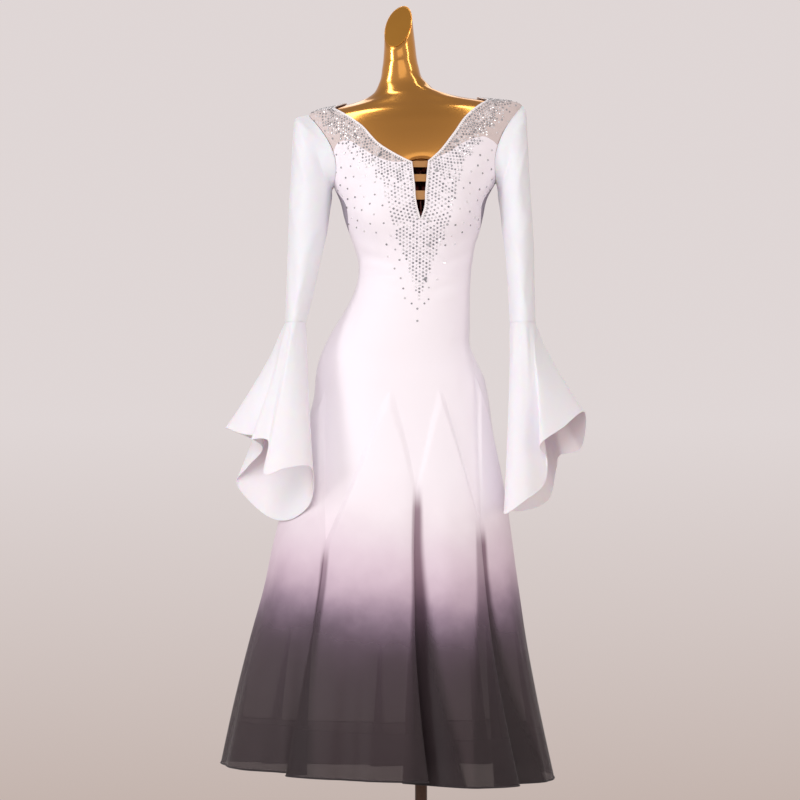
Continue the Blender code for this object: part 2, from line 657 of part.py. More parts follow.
def add_godets(finish, band_finish, parent):
    """Eight flared godets and the sheer band inside their hem."""
    band = []
    for number in range(len(GODETS)):
        columns = np.array([number + q for q in GODET_COLUMNS] + [number + 1.0])
        hem = hem_level(skirt_angle(columns))
        top = godet_top(columns)
        band_top = hem + HEM_BAND
        above = [band_top + (top - band_top) * (i / GODET_ROWS) for i in range(1, GODET_ROWS + 1)]
        levels = np.array([hem, band_top] + above)[::-1]
        columns = np.broadcast_to(columns, levels.shape)
        place = skirt(columns, levels)
        normals = surface_normals(hip_surface, columns * 100, levels)
        band.append((place[-2:, :-1], normals[-2:, :-1]))
        down = np.gradient(place, axis=0)
        along = np.gradient(place, axis=1)
        sideways = unit(np.cross(normals, down))
        downwards = unit(np.cross(along, normals))
        place = place.copy()
        place[0] += downwards[0] * SEAM_GAP
        place[:, 0] += sideways[:, 0] * SEAM_GAP
        place[:, -1] -= sideways[:, -1] * SEAM_GAP
        wall_grid(f"godet_{number + 1}", place, normals, CHIFFON, finish, parent, False)
    place = np.concatenate([part[0] for part in band], axis=1)
    normals = np.concatenate([part[1] for part in band], axis=1)
    place = place - normals * (CHIFFON + BAND_GAP)
    wall_grid("hem_band", place, normals, BAND_THICK, band_finish, parent, True)


def add_sleeve(side, rows, finish, parent):
    """Fitted sleeve from its armhole to the seam above the flounce."""
    name = "left" if side == LEFT else "right"
    table = [(i, *row) for i, row in enumerate(rows)]
    keys = np.linspace(0, len(rows) - 1, SLEEVE_RINGS)
    ring = smooth_rows(table, keys)[:, 1:]
    turn = np.linspace(0, 360, SLEEVE_COLUMNS, endpoint=False)
    c, s = np.cos(np.radians(turn)), np.sin(np.radians(turn))
    points = np.zeros((SLEEVE_RINGS, SLEEVE_COLUMNS, 3))
    for i, (outer_x, outer_z, inner_x, inner_z, middle_y, depth) in enumerate(ring):
        points[i, :, 0] = (outer_x + inner_x) / 2 + (outer_x - inner_x) / 2 * c
        points[i, :, 1] = middle_y - depth * s
        points[i, :, 2] = (outer_z + inner_z) / 2 + (outer_z - inner_z) / 2 * c
    hole = armhole(side, turn)
    fit = trunk(hole[:, 0], hole[:, 1]) - points[0]
    points = points + fit * np.exp(-(keys / SLEEVE_BLEND) ** 2)[:, None, None]
    points[0] = points[0] + (points[1] - points[0]) * 0.03 + np.array([side * SLEEVE_GAP, 0, 0])
    normals = tube_normals(points, -side)
    wall_grid(f"sleeve_{name}", points, normals, CHIFFON, finish, parent, True)


def closed_curve(rows, steps):
    """Smooth closed curve through rows, with steps points for each row."""
    rows = np.array(rows, dtype=float)
    count = len(rows)
    made = []
    for i in range(count):
        before, start, end, after = (rows[(i + k) % count] for k in (-1, 0, 1, 2))
        for j in range(steps):
            t = j / steps
            made.append(0.5 * (
                2 * start + (end - before) * t + (2 * before - 5 * start + 4 * end - after) * t ** 2
                + (3 * start - before - 3 * end + after) * t ** 3
            ))
    return np.array(made)


def add_flounce(side, sleeve_row, hem_rows, finish, parent):
    """Circular flounce that hangs from the sleeve's lower seam."""
    name = "left" if side == LEFT else "right"
    hem = closed_curve(hem_rows, FLOUNCE_STEPS)
    outer_x, seam_z, inner_x, _, middle_y, depth = sleeve_row
    turn = np.radians(FLOUNCE_TURN + np.arange(len(hem)) * 360 / len(hem))
    seam = np.column_stack([
        (outer_x + inner_x) / 2 + (outer_x - inner_x) / 2 * np.cos(turn),
        middle_y - depth * np.sin(turn),
        np.full(len(hem), seam_z - 2 * SEAM_GAP),
    ])
    points = []
    rolls = range(-FLOUNCE_STEPS, FLOUNCE_STEPS + 1)
    smooth_hem = np.mean([np.roll(hem, k, axis=0) for k in rolls], axis=0)
    for part in np.linspace(0, 1, FLOUNCE_ROWS):
        row = seam + (smooth_hem - seam) * part
        points.append(row + (hem - smooth_hem) * part ** FLOUNCE_FOLD)
    points = np.array(points)
    normals = tube_normals(points, -side)
    wall_grid(f"flounce_{name}", points, normals, CHIFFON, finish, parent, True)


def form_level_rows():
    """Levels of the form's rings, closer together where it bends."""
    low = [row[0] for row in FORM_LOWER]
    body = list(range(975, 1400, 42))
    shoulder = [1405, 1422, 1434, 1444, 1454, 1464, 1474, 1484, 1495, 1508, 1530, 1560, 1589]
    return low + body + shoulder


def form_ring(level, segments=FORM_SEGMENTS):
    """One ring of the form, drawn in from the cloth's surface."""
    angles = np.linspace(-180, 180, segments, endpoint=False)
    levels = np.full(segments, float(level))
    place = trunk(angles, levels)
    normals = surface_normals(trunk, angles, levels)
    if level <= FORM_LOWER[-1][0]:
        inset = float(np.interp(level, *np.array(FORM_LOWER).T))
        normals[:, 2] = 0
        normals = unit(normals)
    else:
        inset = float(np.interp(level, *np.array(FORM_INSET).T))
    if level > 1500:
        normals[:, 2] = 0
    return place - normals * inset


def add_form(finish, plate_finish, parent):
    """Smooth limbless torso with its neck, and the plate on the slanted cut."""
    rings = np.array([form_ring(level) for level in form_level_rows()])
    rows, columns = rings.shape[:2]
    verts = list(rings.reshape(-1, 3))
    faces = []
    for r in range(rows - 1):
        for c in range(columns):
            d = (c + 1) % columns
            faces.append((r * columns + c, r * columns + d, (r + 1) * columns + d, (r + 1) * columns + c))
    faces.append(tuple(range(columns)))
    faces.append(tuple(range((rows - 1) * columns, rows * columns)))
    add_object("form_torso", verts, faces, finish, parent)
    top = rings[-1]
    middle = top.mean(axis=0)
    normal = np.array([-NECK_CUT[0], -NECK_CUT[1], 1.0])
    normal /= np.linalg.norm(normal)
    plate = []
    for lift, shrink in ((0.3, 0.93), (2.0, 0.93), (2.6, 0.90)):
        plate += list(middle + (top - middle) * shrink + normal * lift)
    faces = [tuple(range(columns)), tuple(range(2 * columns, 3 * columns))]
    for r in range(2):
        for c in range(columns):
            d = (c + 1) % columns
            faces.append((r * columns + c, r * columns + d, (r + 1) * columns + d, (r + 1) * columns + c))
    add_object("form_neck_plate", plate, faces, plate_finish, parent)


def turned(name, profile, segments, finish, parent):
    """Solid turned round the Z axis from (radius, height) rows, from its foot to its top."""
    turn = np.radians(np.arange(segments) * 360 / segments)
    verts = []
    for radius, height in profile:
        verts += [(radius * math.cos(t), radius * math.sin(t), height) for t in turn]
    faces = [tuple(range(segments)), tuple(range((len(profile) - 1) * segments, len(profile) * segments))]
    for r in range(len(profile) - 1):
        for c in range(segments):
            d = (c + 1) % segments
            faces.append((r * segments + c, r * segments + d, (r + 1) * segments + d, (r + 1) * segments + c))
    return add_object(name, verts, faces, finish, parent, smooth_angle=30.0)


def add_stand(finish, parent):
    """Collar under the torso, the pole, and the round base plate with its socket."""
    top = FORM_BOTTOM - 0.3
    low = top - COLLAR_HEIGHT
    collar = [(COLLAR_RADIUS - 6, low), (COLLAR_RADIUS, low + 6), (COLLAR_RADIUS, top - 4), (COLLAR_RADIUS + 6, top)]
    turned("pole_collar", collar, 28, finish, parent)
    turned("pole", [(POLE_RADIUS, POLE_FOOT + 0.3), (POLE_RADIUS, low - 0.3)], 24, finish, parent)
    base = [
        (BASE_RADIUS, 0), (BASE_RADIUS, BASE_THICK - 5), (BASE_RADIUS - 8, BASE_THICK),
        (34, BASE_THICK + 5), (21, BASE_THICK + 14), (17, POLE_FOOT),
    ]
    turned("base_plate", base, 40, finish, parent)


def build():
    for old in list(bpy.data.objects):
        bpy.data.objects.remove(old)
    root = bpy.data.objects.new("dress_on_form", None)
    bpy.context.scene.collection.objects.link(root)
    knit = material("white_stretch_knit", (0.92, 0.88, 0.90), 0.65)
    net = material("nude_net", (0.66, 0.55, 0.52), 0.8)
    inset_net = material("lilac_net", (0.36, 0.30, 0.40), 0.8)
    crepe = material("white_sleeve_crepe", (0.93, 0.90, 0.93), 0.6)
    chiffon = material("ombre_chiffon", (0.30, 0.24, 0.29), 0.75)
    band = material("black_horsehair_band", (0.05, 0.04, 0.05), 0.7)
    elastic = material("tan_elastic", (0.50, 0.32, 0.14), 0.7)
    piping = material("white_binding", (0.95, 0.93, 0.94), 0.5)
    gold = material("gold_lacquer", (0.58, 0.33, 0.10), 0.25, 0.9)
    plate = material("dull_gold_plate", (0.38, 0.18, 0.06), 0.4, 0.8)
    steel = material("dark_chrome", (0.10, 0.06, 0.05), 0.3, 0.9)
    left, right = add_bodice(root, knit, net, inset_net)
    add_binding(left, right, piping, root)
    add_straps(elastic, root)
    add_hips(knit, root)
    add_godets(chiffon, band, root)
    for side, rows, hem in ((LEFT, SLEEVE_LEFT, FLOUNCE_LEFT), (RIGHT, SLEEVE_RIGHT, FLOUNCE_RIGHT)):
        add_sleeve(side, rows, crepe, root)
        add_flounce(side, rows[-1], hem, crepe, root)
    add_form(gold, plate, root)
    add_stand(steel, root)


build()
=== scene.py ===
import math

import bmesh
import bpy
import numpy as np
from mathutils.geometry import delaunay_2d_cdt
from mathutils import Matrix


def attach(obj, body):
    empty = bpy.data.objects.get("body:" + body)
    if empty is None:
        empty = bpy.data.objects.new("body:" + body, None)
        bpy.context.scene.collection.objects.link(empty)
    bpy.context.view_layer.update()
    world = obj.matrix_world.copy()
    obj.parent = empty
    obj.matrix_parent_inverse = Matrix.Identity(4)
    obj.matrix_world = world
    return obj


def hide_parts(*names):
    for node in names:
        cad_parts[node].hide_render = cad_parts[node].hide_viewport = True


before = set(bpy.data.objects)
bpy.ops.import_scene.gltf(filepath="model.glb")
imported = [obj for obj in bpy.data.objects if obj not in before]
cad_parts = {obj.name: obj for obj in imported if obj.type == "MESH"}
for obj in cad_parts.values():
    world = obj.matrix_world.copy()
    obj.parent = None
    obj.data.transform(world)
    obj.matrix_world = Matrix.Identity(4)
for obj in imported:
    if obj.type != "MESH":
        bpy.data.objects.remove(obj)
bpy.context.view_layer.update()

# Ballroom dress on its form, dressed over the frame. The tables are in millimetres, +Z up, front -Y.
mm = 0.001
chance = np.random.default_rng(7)
left, right = -1, 1

# Level rings of the trunk under the cloth: level, middle x, half width, front y, back y
trunkRings = (
    (230, -63, 307, -275, 274), (385, -63, 273, -238, 240), (487, -60, 250, -212, 214),
    (583, -54, 229, -186, 190), (644, -52, 217, -171, 176), (709, -48, 202, -155, 162),
    (802, -42, 180, -131, 142), (867, -39, 167, -117, 129), (925, -36, 156, -107, 118),
    (953, -38, 152, -104, 114), (981, -42, 143, -100, 109), (1014, -42, 130, -97, 103),
    (1044, -34, 122, -93, 97), (1073, -25, 113, -89, 90), (1099, -18, 106, -86, 84),
    (1125, -13, 102, -84, 81), (1146, -11, 101, -84, 81), (1166, -10, 103, -86, 84),
    (1192, -12, 109, -91, 88), (1218, -12, 118, -97, 92), (1243, -13, 125, -101, 96),
    (1273, -13, 132, -104, 99),
)

# The body that the cloth follows, ring by ring: level, middle x, half width, height at the side,
# front y, height at the front, back y, height at the back, drop between side and front.
body = {
    "rings": tuple(
        (z, middle, half, z, front, z, back, z, 0) for z, middle, half, front, back in trunkRings
    ) + (
        (1303, -11, 146, 1303, -104, 1303, 101, 1304, 0),
        (1340, -10, 158, 1339, -99, 1340, 104, 1344, 0),
        (1372, -10, 172, 1371, -92, 1374, 104, 1380, 0),
        (1400, -10, 185, 1399, -83, 1402, 101, 1412, 0),
        (1422, -10, 192, 1420, -74, 1425, 93, 1436, 1),
        (1436, -10, 194, 1433, -65, 1441, 84, 1450, 2),
        (1446, -10, 188, 1441, -57, 1451, 76, 1459, 4),
        (1456, -11, 168, 1447, -50, 1459, 68, 1467, 6),
        (1466, -14, 140, 1451, -45, 1465, 61, 1474, 7),
        (1476, -17, 112, 1455, -41, 1471, 55, 1480, 6),
        (1486, -22, 84, 1461, -38, 1478, 51, 1487, 4),
        (1496, -28, 61, 1470, -35, 1487, 48, 1495, 2),
        (1510, -34, 44, 1488, -33, 1501, 44, 1507, 0),
        (1530, -37, 36, 1515, -32, 1522, 38, 1527, 0),
        (1560, -39, 31, 1553, -31, 1554, 32, 1556, 0),
        (1589, -41, 28, 1589, -29, 1589, 27, 1589, 0),
    ),
    "squareness": 0.94,
    "riseCurve": 1.6,            # how the heights run from the side to the front and back
    "shoulderTilt": 0.045, "tiltGrows": (1150, 1400), "tiltFades": (1480, 1530),
    "neckCut": (0.5, 1.42), "cutGrows": (1520, 1589),    # slope of the neck's cut along x and y, levels
    "fullPlaces": (              # middle angle, middle level, height, spread in degrees, spread in level
        (-123, 1238, 15, 20, 40), (-57, 1238, 15, 20, 40), (58, 945, 13, 24, 55), (122, 945, 13, 24, 55),
    ),
}


def smoothRows(table, key):
    data = np.array(table, dtype=float)
    keys = data[:, 0]
    slopes = np.gradient(data, keys, axis=0)
    key = np.clip(key, keys[0], keys[-1])
    low = np.clip(np.searchsorted(keys, key) - 1, 0, len(keys) - 2)
    span = keys[low + 1] - keys[low]
    t = ((key - keys[low]) / span)[..., None]
    span = span[..., None]
    first = (2 * t**3 - 3 * t**2 + 1) * data[low] + (t**3 - 2 * t**2 + t) * span * slopes[low]
    second = (3 * t**2 - 2 * t**3) * data[low + 1] + (t**3 - t**2) * span * slopes[low + 1]
    return first + second


def easy(value, low, high):
    t = np.clip((value - low) / (high - low), 0, 1)
    return t * t * (3 - 2 * t)


def unit(vectors):
    return vectors / np.linalg.norm(vectors, axis=-1, keepdims=True)


def signedPower(value, exponent):
    return np.sign(value) * np.abs(value) ** exponent


def bodyPoint(angle, level):     # -90 degrees is the front, 0 is +X
    angle = np.asarray(angle, dtype=float)
    level = np.asarray(level, dtype=float)
    row = np.moveaxis(smoothRows(body["rings"], level), -1, 0)
    middle, half, sideZ, front, frontZ, back, backZ, drop = row[1:]
    turn = np.radians(angle)
    across, along = np.cos(turn), np.sin(turn)
    toFront = along < 0
    x = middle + half * signedPower(across, body["squareness"])
    y = np.where(toFront, front, back) * np.abs(along) ** body["squareness"]
    rise = np.where(toFront, frontZ, backZ) - sideZ
    z = sideZ + rise * np.abs(along) ** body["riseCurve"] - drop * np.sin(2 * turn) ** 2
    for place, placeLevel, height, spread, levelSpread in body["fullPlaces"]:
        away = (angle - place + 180) % 360 - 180
        push = height * np.exp(-(away / spread) ** 2 - ((level - placeLevel) / levelSpread) ** 2)
        x = x + push * across
        y = y + push * along
    fadeLow, fadeHigh = body["tiltFades"]
    tilt = body["shoulderTilt"] * easy(level, *body["tiltGrows"]) * easy(-level, -fadeHigh, -fadeLow)
    z = z + tilt * (x - middle)
    slopeX, slopeY = body["neckCut"]
    z = z + easy(level, *body["cutGrows"]) * (slopeX * (x - middle) + slopeY * y)
    return np.stack(np.broadcast_arrays(x, y, z), axis=-1)


# Creases laid on the fitted cloth, seen from the front and from the back. Each is a soft
# ridge (height above 0) or trough (below 0): start x and z, end x and z, height, width.
bodyCreases = {
    "front": (
        (-118, 1196, -62, 1164, 1.5, 9), (-112, 1176, -40, 1152, -1.6, 8), (-106, 1158, -50, 1142, 1.2, 6),
        (96, 1204, 52, 1166, 1.7, 10), (92, 1182, 40, 1154, -1.8, 9), (88, 1160, 46, 1143, 1.3, 7),
        (-140, 1330, -96, 1318, 1.2, 9), (-138, 1316, -90, 1296, -1.3, 9), (124, 1338, 84, 1322, 1.4, 10),
        (122, 1318, 82, 1296, -1.5, 9), (118, 1296, 92, 1262, 1.2, 8), (-86, 1120, -30, 1108, -1.4, 7),
        (-94, 1106, -40, 1090, 1.2, 8), (66, 1120, 20, 1106, -1.5, 7), (72, 1104, 26, 1088, 1.3, 8),
        (-60, 1352, -92, 1326, 0.9, 6), (52, 1362, 76, 1330, 1.0, 6), (-30, 1214, -24, 1160, -0.8, 9),
        (24, 1208, 20, 1158, -0.8, 9), (-130, 1030, -96, 1000, 1.3, 12), (70, 1040, 40, 1010, 1.2, 12),
        (-150, 985, -120, 905, -1.2, 12), (86, 985, 70, 900, -1.2, 11),
    ),
    "back": (
        (-112, 1210, -50, 1178, 1.8, 11), (-108, 1188, -36, 1160, -2.0, 10), (-100, 1166, -40, 1146, 1.5, 8),
        (92, 1212, 40, 1176, 1.7, 11), (90, 1188, 30, 1158, -1.9, 9), (84, 1164, 34, 1145, 1.4, 8),
        (-84, 1118, -14, 1102, -1.7, 8), (-92, 1098, -28, 1080, 1.5, 9), (66, 1116, 8, 1100, -1.6, 8),
        (74, 1096, 18, 1078, 1.4, 9), (-136, 1330, -84, 1302, 1.4, 11), (120, 1334, 74, 1304, 1.4, 11),
        (-60, 1052, 20, 1046, -1.2, 10), (-146, 990, -118, 900, -1.3, 12), (84, 992, 62, 905, -1.3, 12),
    ),
    "sideFade": (5, 45),         # y in front or behind that a crease fades in over
}


def creaseLift(rows, across, along):
    total = np.zeros(np.shape(across))
    for x1, z1, x2, z2, height, width in rows:
        dx, dz = x2 - x1, z2 - z1
        t = np.clip(((across - x1) * dx + (along - z1) * dz) / (dx * dx + dz * dz), 0, 1)
        away = (across - x1 - t * dx) ** 2 + (along - z1 - t * dz) ** 2
        total = total + height * (0.3 + 0.7 * np.sin(np.pi * t)) * np.exp(-away / width ** 2)
    return total


def clothPoint(angle, level):
    point = bodyPoint(angle, level)
    x, y, z = np.moveaxis(point, -1, 0)
    lift = creaseLift(bodyCreases["front"], x, z) * easy(-y, *bodyCreases["sideFade"])
    lift = lift + creaseLift(bodyCreases["back"], x, z) * easy(y, *bodyCreases["sideFade"])
    middle = smoothRows(body["rings"], np.asarray(level, dtype=float))[..., 1]
    out = np.stack([x - middle, y, 0 * x], axis=-1)
    return point + unit(out) * lift[..., None]


# The skirt: eight godets from valley to valley. Columns: angle of the valley, level where the hip's
# point ends, depth of the valley at the hem, overlap in degrees, level of the top, its place, how
# wide the painted shade lies on the doubled cloth and in the hollow beside it.
skirtCut = {
    "godets": (
        (-177, 680, 32, -3.0, 930, 0.45, 0.12, 0.20), (-122, 663, 42, -7.5, 934, 0.60, 0.30, 0.22),
        (-80.5, 769, 44, 8.0, 936, 0.40, 0.22, 0.50), (-43, 698, 40, 7.5, 962, 0.35, 0.50, 0.50),
        (2, 690, 34, 3.0, 950, 0.50, 0.24, 0.76), (48, 700, 38, 6.0, 945, 0.50, 0.20, 0.30),
        (93, 740, 42, -7.0, 945, 0.50, 0.26, 0.26), (138, 700, 38, 6.0, 940, 0.50, 0.20, 0.30),
    ),
    # How much higher the dye runs than at the front: angle, mm
    "dyeRise": (
        (-180, 38), (-150, 34), (-122, 24), (-100, 8), (-80, 0), (-43, 4), (-28, 24), (-8, 42), (10, 48),
        (60, 15), (90, 5), (135, 20), (180, 38),
    ),
    "columns": (0, 0.045, 0.085, 0.125, 0.18, 0.26, 0.38, 0.5, 0.62, 0.74, 0.82, 0.875, 0.915, 0.955, 1),
    "columnSteps": 5,
    "rows": 96,
    "recess": (0.16, 0.19, 0.18),          # middle, steep side, wide side
    "overMiddle": 0.09, "underMiddle": 0.10, "overSides": (0.12, 0.20),
    "arch": 1.35,
    "foldStart": 12, "foldEnd": 250,       # way above the hip's point and level that a fold opens over
    "fallMost": 1.1, "fallEase": (-0.1, 0.18), "fallCurve": 0.9, "softCurve": 1.2,
    # Share of their width at the fold's top, soft edges and strength of the painted shade in the folds
    "doubledStart": 0.25, "hollowStart": 0.2, "doubledEdge": 0.04, "hollowEdge": 0.08, "valleyEdge": 0.03,
    "doubledShade": 0.6, "shadeEase": 0.12,
    "hem": (
        (-180, 268), (-150, 263), (-122, 257), (-100, 252), (-80, 246), (-62, 237), (-43, 236),
        (-15, 240), (10, 248), (45, 249), (90, 240), (135, 249), (180, 268),
    ),
    "waist": 1133,
    "puff": 5.5, "puffTop": 45, "puffLevels": (560, 760),    # fullness of the godets below their arched seam
    # Soft folds that hang in the godets: place, level where they start, height at the hem, width
    "softFolds": (
        (0.44, 560, 5, 0.09), (0.66, 640, -6, 0.08), (0.28, 700, -4, 0.07), (1.30, 640, 5, 0.08),
        (1.47, 700, -5, 0.07), (1.70, 560, 4, 0.10), (2.34, 690, 5, 0.09), (2.62, 620, -5, 0.10),
        (3.30, 660, -5, 0.08), (3.56, 720, 6, 0.09), (3.80, 560, -4, 0.07), (4.34, 640, 6, 0.09),
        (4.60, 700, -6, 0.08), (5.30, 620, 6, 0.10), (5.62, 690, -6, 0.09), (6.36, 600, -6, 0.09),
        (6.62, 700, 6, 0.10), (7.30, 690, 5, 0.08), (7.55, 600, -6, 0.09), (7.78, 660, 5, 0.07),
        (0.765, 650, 6, 0.028), (1.36, 640, 3, 0.022), (1.56, 540, -3, 0.03), (1.62, 600, 3, 0.028),
        (2.48, 560, -4, 0.03), (2.56, 640, 3, 0.03), (3.46, 660, 5, 0.035), (3.22, 560, 3, 0.025),
        (4.50, 600, 4, 0.03), (5.42, 640, 4, 0.03), (6.48, 620, -4, 0.03), (7.42, 600, 4, 0.03),
    ),
}


def hemLevel(angle):
    return smoothRows(skirtCut["hem"], (np.asarray(angle, dtype=float) + 180) % 360 - 180)[..., 1]


def godetColumn(place, column):
    values = np.array([row[column] for row in skirtCut["godets"]])
    return values[np.round(place).astype(int) % len(values)]


def skirtAngle(place):
    rows = skirtCut["godets"]
    count = len(rows)
    knots = [(i, rows[i % count][0] + 360 * (i // count)) for i in range(-count, 3 * count)]
    return smoothRows(knots, np.asarray(place, dtype=float))[..., 1]


def bell(value, middle, steep, wide):
    away = value - middle
    return np.exp(-(away / np.where(away < 0, steep, wide)) ** 2)


def foldShape(place, level):
    # Way from the nearest valley (above 0 on the side that lies under), how far the fold has
    # opened, its fading and its hollow
    away = place - np.round(place)
    start = godetColumn(place, 1) + skirtCut["foldStart"]
    fall = np.clip((start - level) / (start - skirtCut["foldEnd"]), 0, skirtCut["fallMost"])
    fall = fall * easy(fall, *skirtCut["fallEase"])
    fade = 1 - (2 * np.abs(away)) ** 4
    away = away * np.sign(godetColumn(place, 3))
    return away, fall, fade, fade * bell(away, *skirtCut["recess"])


def skirtMarks(place, level):
    # Height of the cloth in the dye, in metres, and the painted shade of its folds
    away, fall, _, _ = foldShape(place, level)
    doubled, hollow = (
        godetColumn(place, column) * (skirtCut[key] + (1 - skirtCut[key]) * fall)
        for column, key in ((6, "doubledStart"), (7, "hollowStart"))
    )
    edge = -skirtCut["valleyEdge"]
    doubled = easy(doubled + away, 0, skirtCut["doubledEdge"]) * easy(-away, edge, 0.0)
    hollow = easy(hollow - away, 0, skirtCut["hollowEdge"]) * easy(away, edge, 0.0)
    # Painted shade: darker on the doubled cloth and in the hollow beside each fold
    paintedShade = np.maximum(skirtCut["doubledShade"] * doubled, hollow) * easy(fall, 0.0, skirtCut["shadeEase"])
    angle = (skirtAngle(place) + 180) % 360 - 180
    rise = smoothRows(skirtCut["dyeRise"], angle)[..., 1]
    return {"dyeHeight": (level - rise) * mm, "fold": paintedShade}


def skirtPoint(place, level):
    place = np.asarray(place, dtype=float)
    level = np.asarray(level, dtype=float)
    depth = godetColumn(place, 2)
    overlap = godetColumn(place, 3)
    away, fall, fade, recess = foldShape(place, level)
    over = bell(-away, skirtCut["overMiddle"], *skirtCut["overSides"])
    over = over - bell(away, skirtCut["underMiddle"], *skirtCut["overSides"])
    point = clothPoint(skirtAngle(place) + overlap * fall * fade * over, level)
    middle = smoothRows(body["rings"], level)[..., 1]
    out = unit(np.stack(np.broadcast_arrays(point[..., 0] - middle, point[..., 1], 0 * level), axis=-1))
    soft = np.zeros(np.broadcast(place, level).shape)
    around = len(skirtCut["godets"])
    part = place - np.floor(place)
    puff = easy(godetTop(place) - level, 0, skirtCut["puffTop"]) * easy(level, *skirtCut["puffLevels"])
    soft = soft + skirtCut["puff"] * puff * (1 - (2 * part - 1) ** 4)
    for foldPlace, foldTop, height, width in skirtCut["softFolds"]:
        part = (place - foldPlace + around / 2) % around - around / 2
        grow = np.clip((foldTop - level) / (foldTop - skirtCut["foldEnd"]), 0, skirtCut["fallMost"])
        grow = grow ** skirtCut["softCurve"]
        soft = soft + height * grow * np.exp(-(part / width) ** 2) * fade
    return point - out * (depth * fall ** skirtCut["fallCurve"] * recess - soft)[..., None]


# Places along the skirt in hundredths, so that they and the levels have like steps
fineScale = 100


def hipPoint(finePlace, level):
    return skirtPoint(finePlace / fineScale, level)


def hipMarks(finePlace, level):
    return skirtMarks(finePlace / fineScale, level)


def godetTop(place):
    place = np.asarray(place, dtype=float)
    low = np.floor(place).astype(int)
    part = place - low
    rows = skirtCut["godets"]
    level = np.zeros_like(place)
    for i, row in enumerate(rows):
        start, end = row[1], rows[(i + 1) % len(rows)][1]
        top, middle = row[4], row[5]
        away = np.where(part < middle, (middle - part) / middle, (part - middle) / (1 - middle))
        arch = top - (top - np.where(part < middle, start, end)) * away ** skirtCut["arch"]
        level = np.where(low % len(rows) == i, arch, level)
    return level


def surfaceNormals(surface, first, second):
    step = 0.05
    along = surface(first + step, second) - surface(first - step, second)
    up = surface(first, second + step) - surface(first, second - step)
    return unit(np.cross(along, up))


# Cloth walls and seams
cloth = {
    "knitWall": 0.8, "netWall": 0.5, "chiffonWall": 0.5, "crepeWall": 0.7,
    "seamGap": 0.12,
    "gridStep": 6.0, "yokeStep": 4.0, "seamStep": 5.0,
    "angleScale": 2.4,       # mm for a degree round the bodice
    "samePoint": 0.4,        # points closer than this are one
}
flatScale = (cloth["angleScale"], 1.0)


def frontPlaces(points, near):
    x, z = np.array(points, dtype=float).T
    angle, level = np.full(len(x), float(near)), z.copy()
    for _ in range(60):
        found = bodyPoint(angle, level)
        slope = (bodyPoint(angle + 0.1, level)[..., 0] - found[..., 0]) / 0.1
        angle = np.clip(angle + 0.7 * (x - found[..., 0]) / np.maximum(slope, 0.3), -176, -4)
        level = level + 0.7 * (z - found[..., 2])
    return np.column_stack([angle, level])


def resample(points, step):
    points = np.array(points, dtype=float)
    chord = np.linalg.norm(np.diff(points, axis=0) * flatScale, axis=1)
    reach = np.concatenate([[0], np.cumsum(chord)])
    table = np.column_stack([reach, points])
    dense = smoothRows(table, np.linspace(0, reach[-1], 400))[:, 1:]
    chord = np.linalg.norm(np.diff(dense, axis=0) * flatScale, axis=1)
    length = np.concatenate([[0], np.cumsum(chord)])
    marks = np.linspace(0, length[-1], max(2, round(length[-1] / step)) + 1)
    return np.column_stack([np.interp(marks, length, dense[:, i]) for i in range(2)])


def setMarks(piece, marks):
    # Values on the cloth's points that its finish reads
    for label, values in marks.items():
        mark = piece.data.attributes.new(label, "FLOAT", "POINT")
        mark.data.foreach_set("value", np.asarray(values, dtype=np.float32).ravel())


def addPiece(name, verts, faces, finish, uvs=None, replaces=(), smoothAngle=50.0):
    mesh = bpy.data.meshes.new(name)
    mesh.from_pydata((np.asarray(verts, dtype=float) * mm).tolist(), [], faces)
    shape = bmesh.new()
    shape.from_mesh(mesh)
    bmesh.ops.recalc_face_normals(shape, faces=shape.faces)
    shape.to_mesh(mesh)
    shape.free()
    if uvs is not None:
        layer = mesh.uv_layers.new(name="cloth")
        corners = np.zeros(len(mesh.loops), dtype=np.int32)
        mesh.loops.foreach_get("vertex_index", corners)
        layer.data.foreach_set("uv", (np.asarray(uvs)[corners] * mm).astype(np.float32).ravel())
    mesh.shade_smooth()
    mesh.set_sharp_from_angle(angle=math.radians(smoothAngle))
    mesh.materials.append(finish)
    piece = bpy.data.objects.new(name, mesh)
    bpy.context.scene.collection.objects.link(piece)
    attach(piece, "root")
    if replaces:
        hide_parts(*replaces)
    return piece


def insideLoop(loop, x, y):
    inside = np.zeros(len(x), dtype=bool)
    for (x1, y1), (x2, y2) in zip(loop, np.roll(loop, -1, axis=0)):
        if y1 != y2:
            inside ^= ((y1 > y) != (y2 > y)) & (x < x1 + (y - y1) * (x2 - x1) / (y2 - y1))
    return inside


def loopDistance(loop, x, y):
    best = np.full(len(x), 1e9)
    for (x1, y1), (x2, y2) in zip(loop, np.roll(loop, -1, axis=0)):
        dx, dy = x2 - x1, y2 - y1
        t = np.clip(((x - x1) * dx + (y - y1) * dy) / max(dx * dx + dy * dy, 1e-9), 0, 1)
        best = np.minimum(best, np.hypot(x - x1 - t * dx, y - y1 - t * dy))
    return best


def join(*lines):
    loop = []
    for line in lines:
        for point in line:
            if not loop or np.linalg.norm((np.array(point) - loop[-1]) * flatScale) > cloth["samePoint"]:
                loop.append(np.array(point))
    if np.linalg.norm((loop[0] - loop[-1]) * flatScale) < cloth["samePoint"]:
        loop.pop()
    return loop


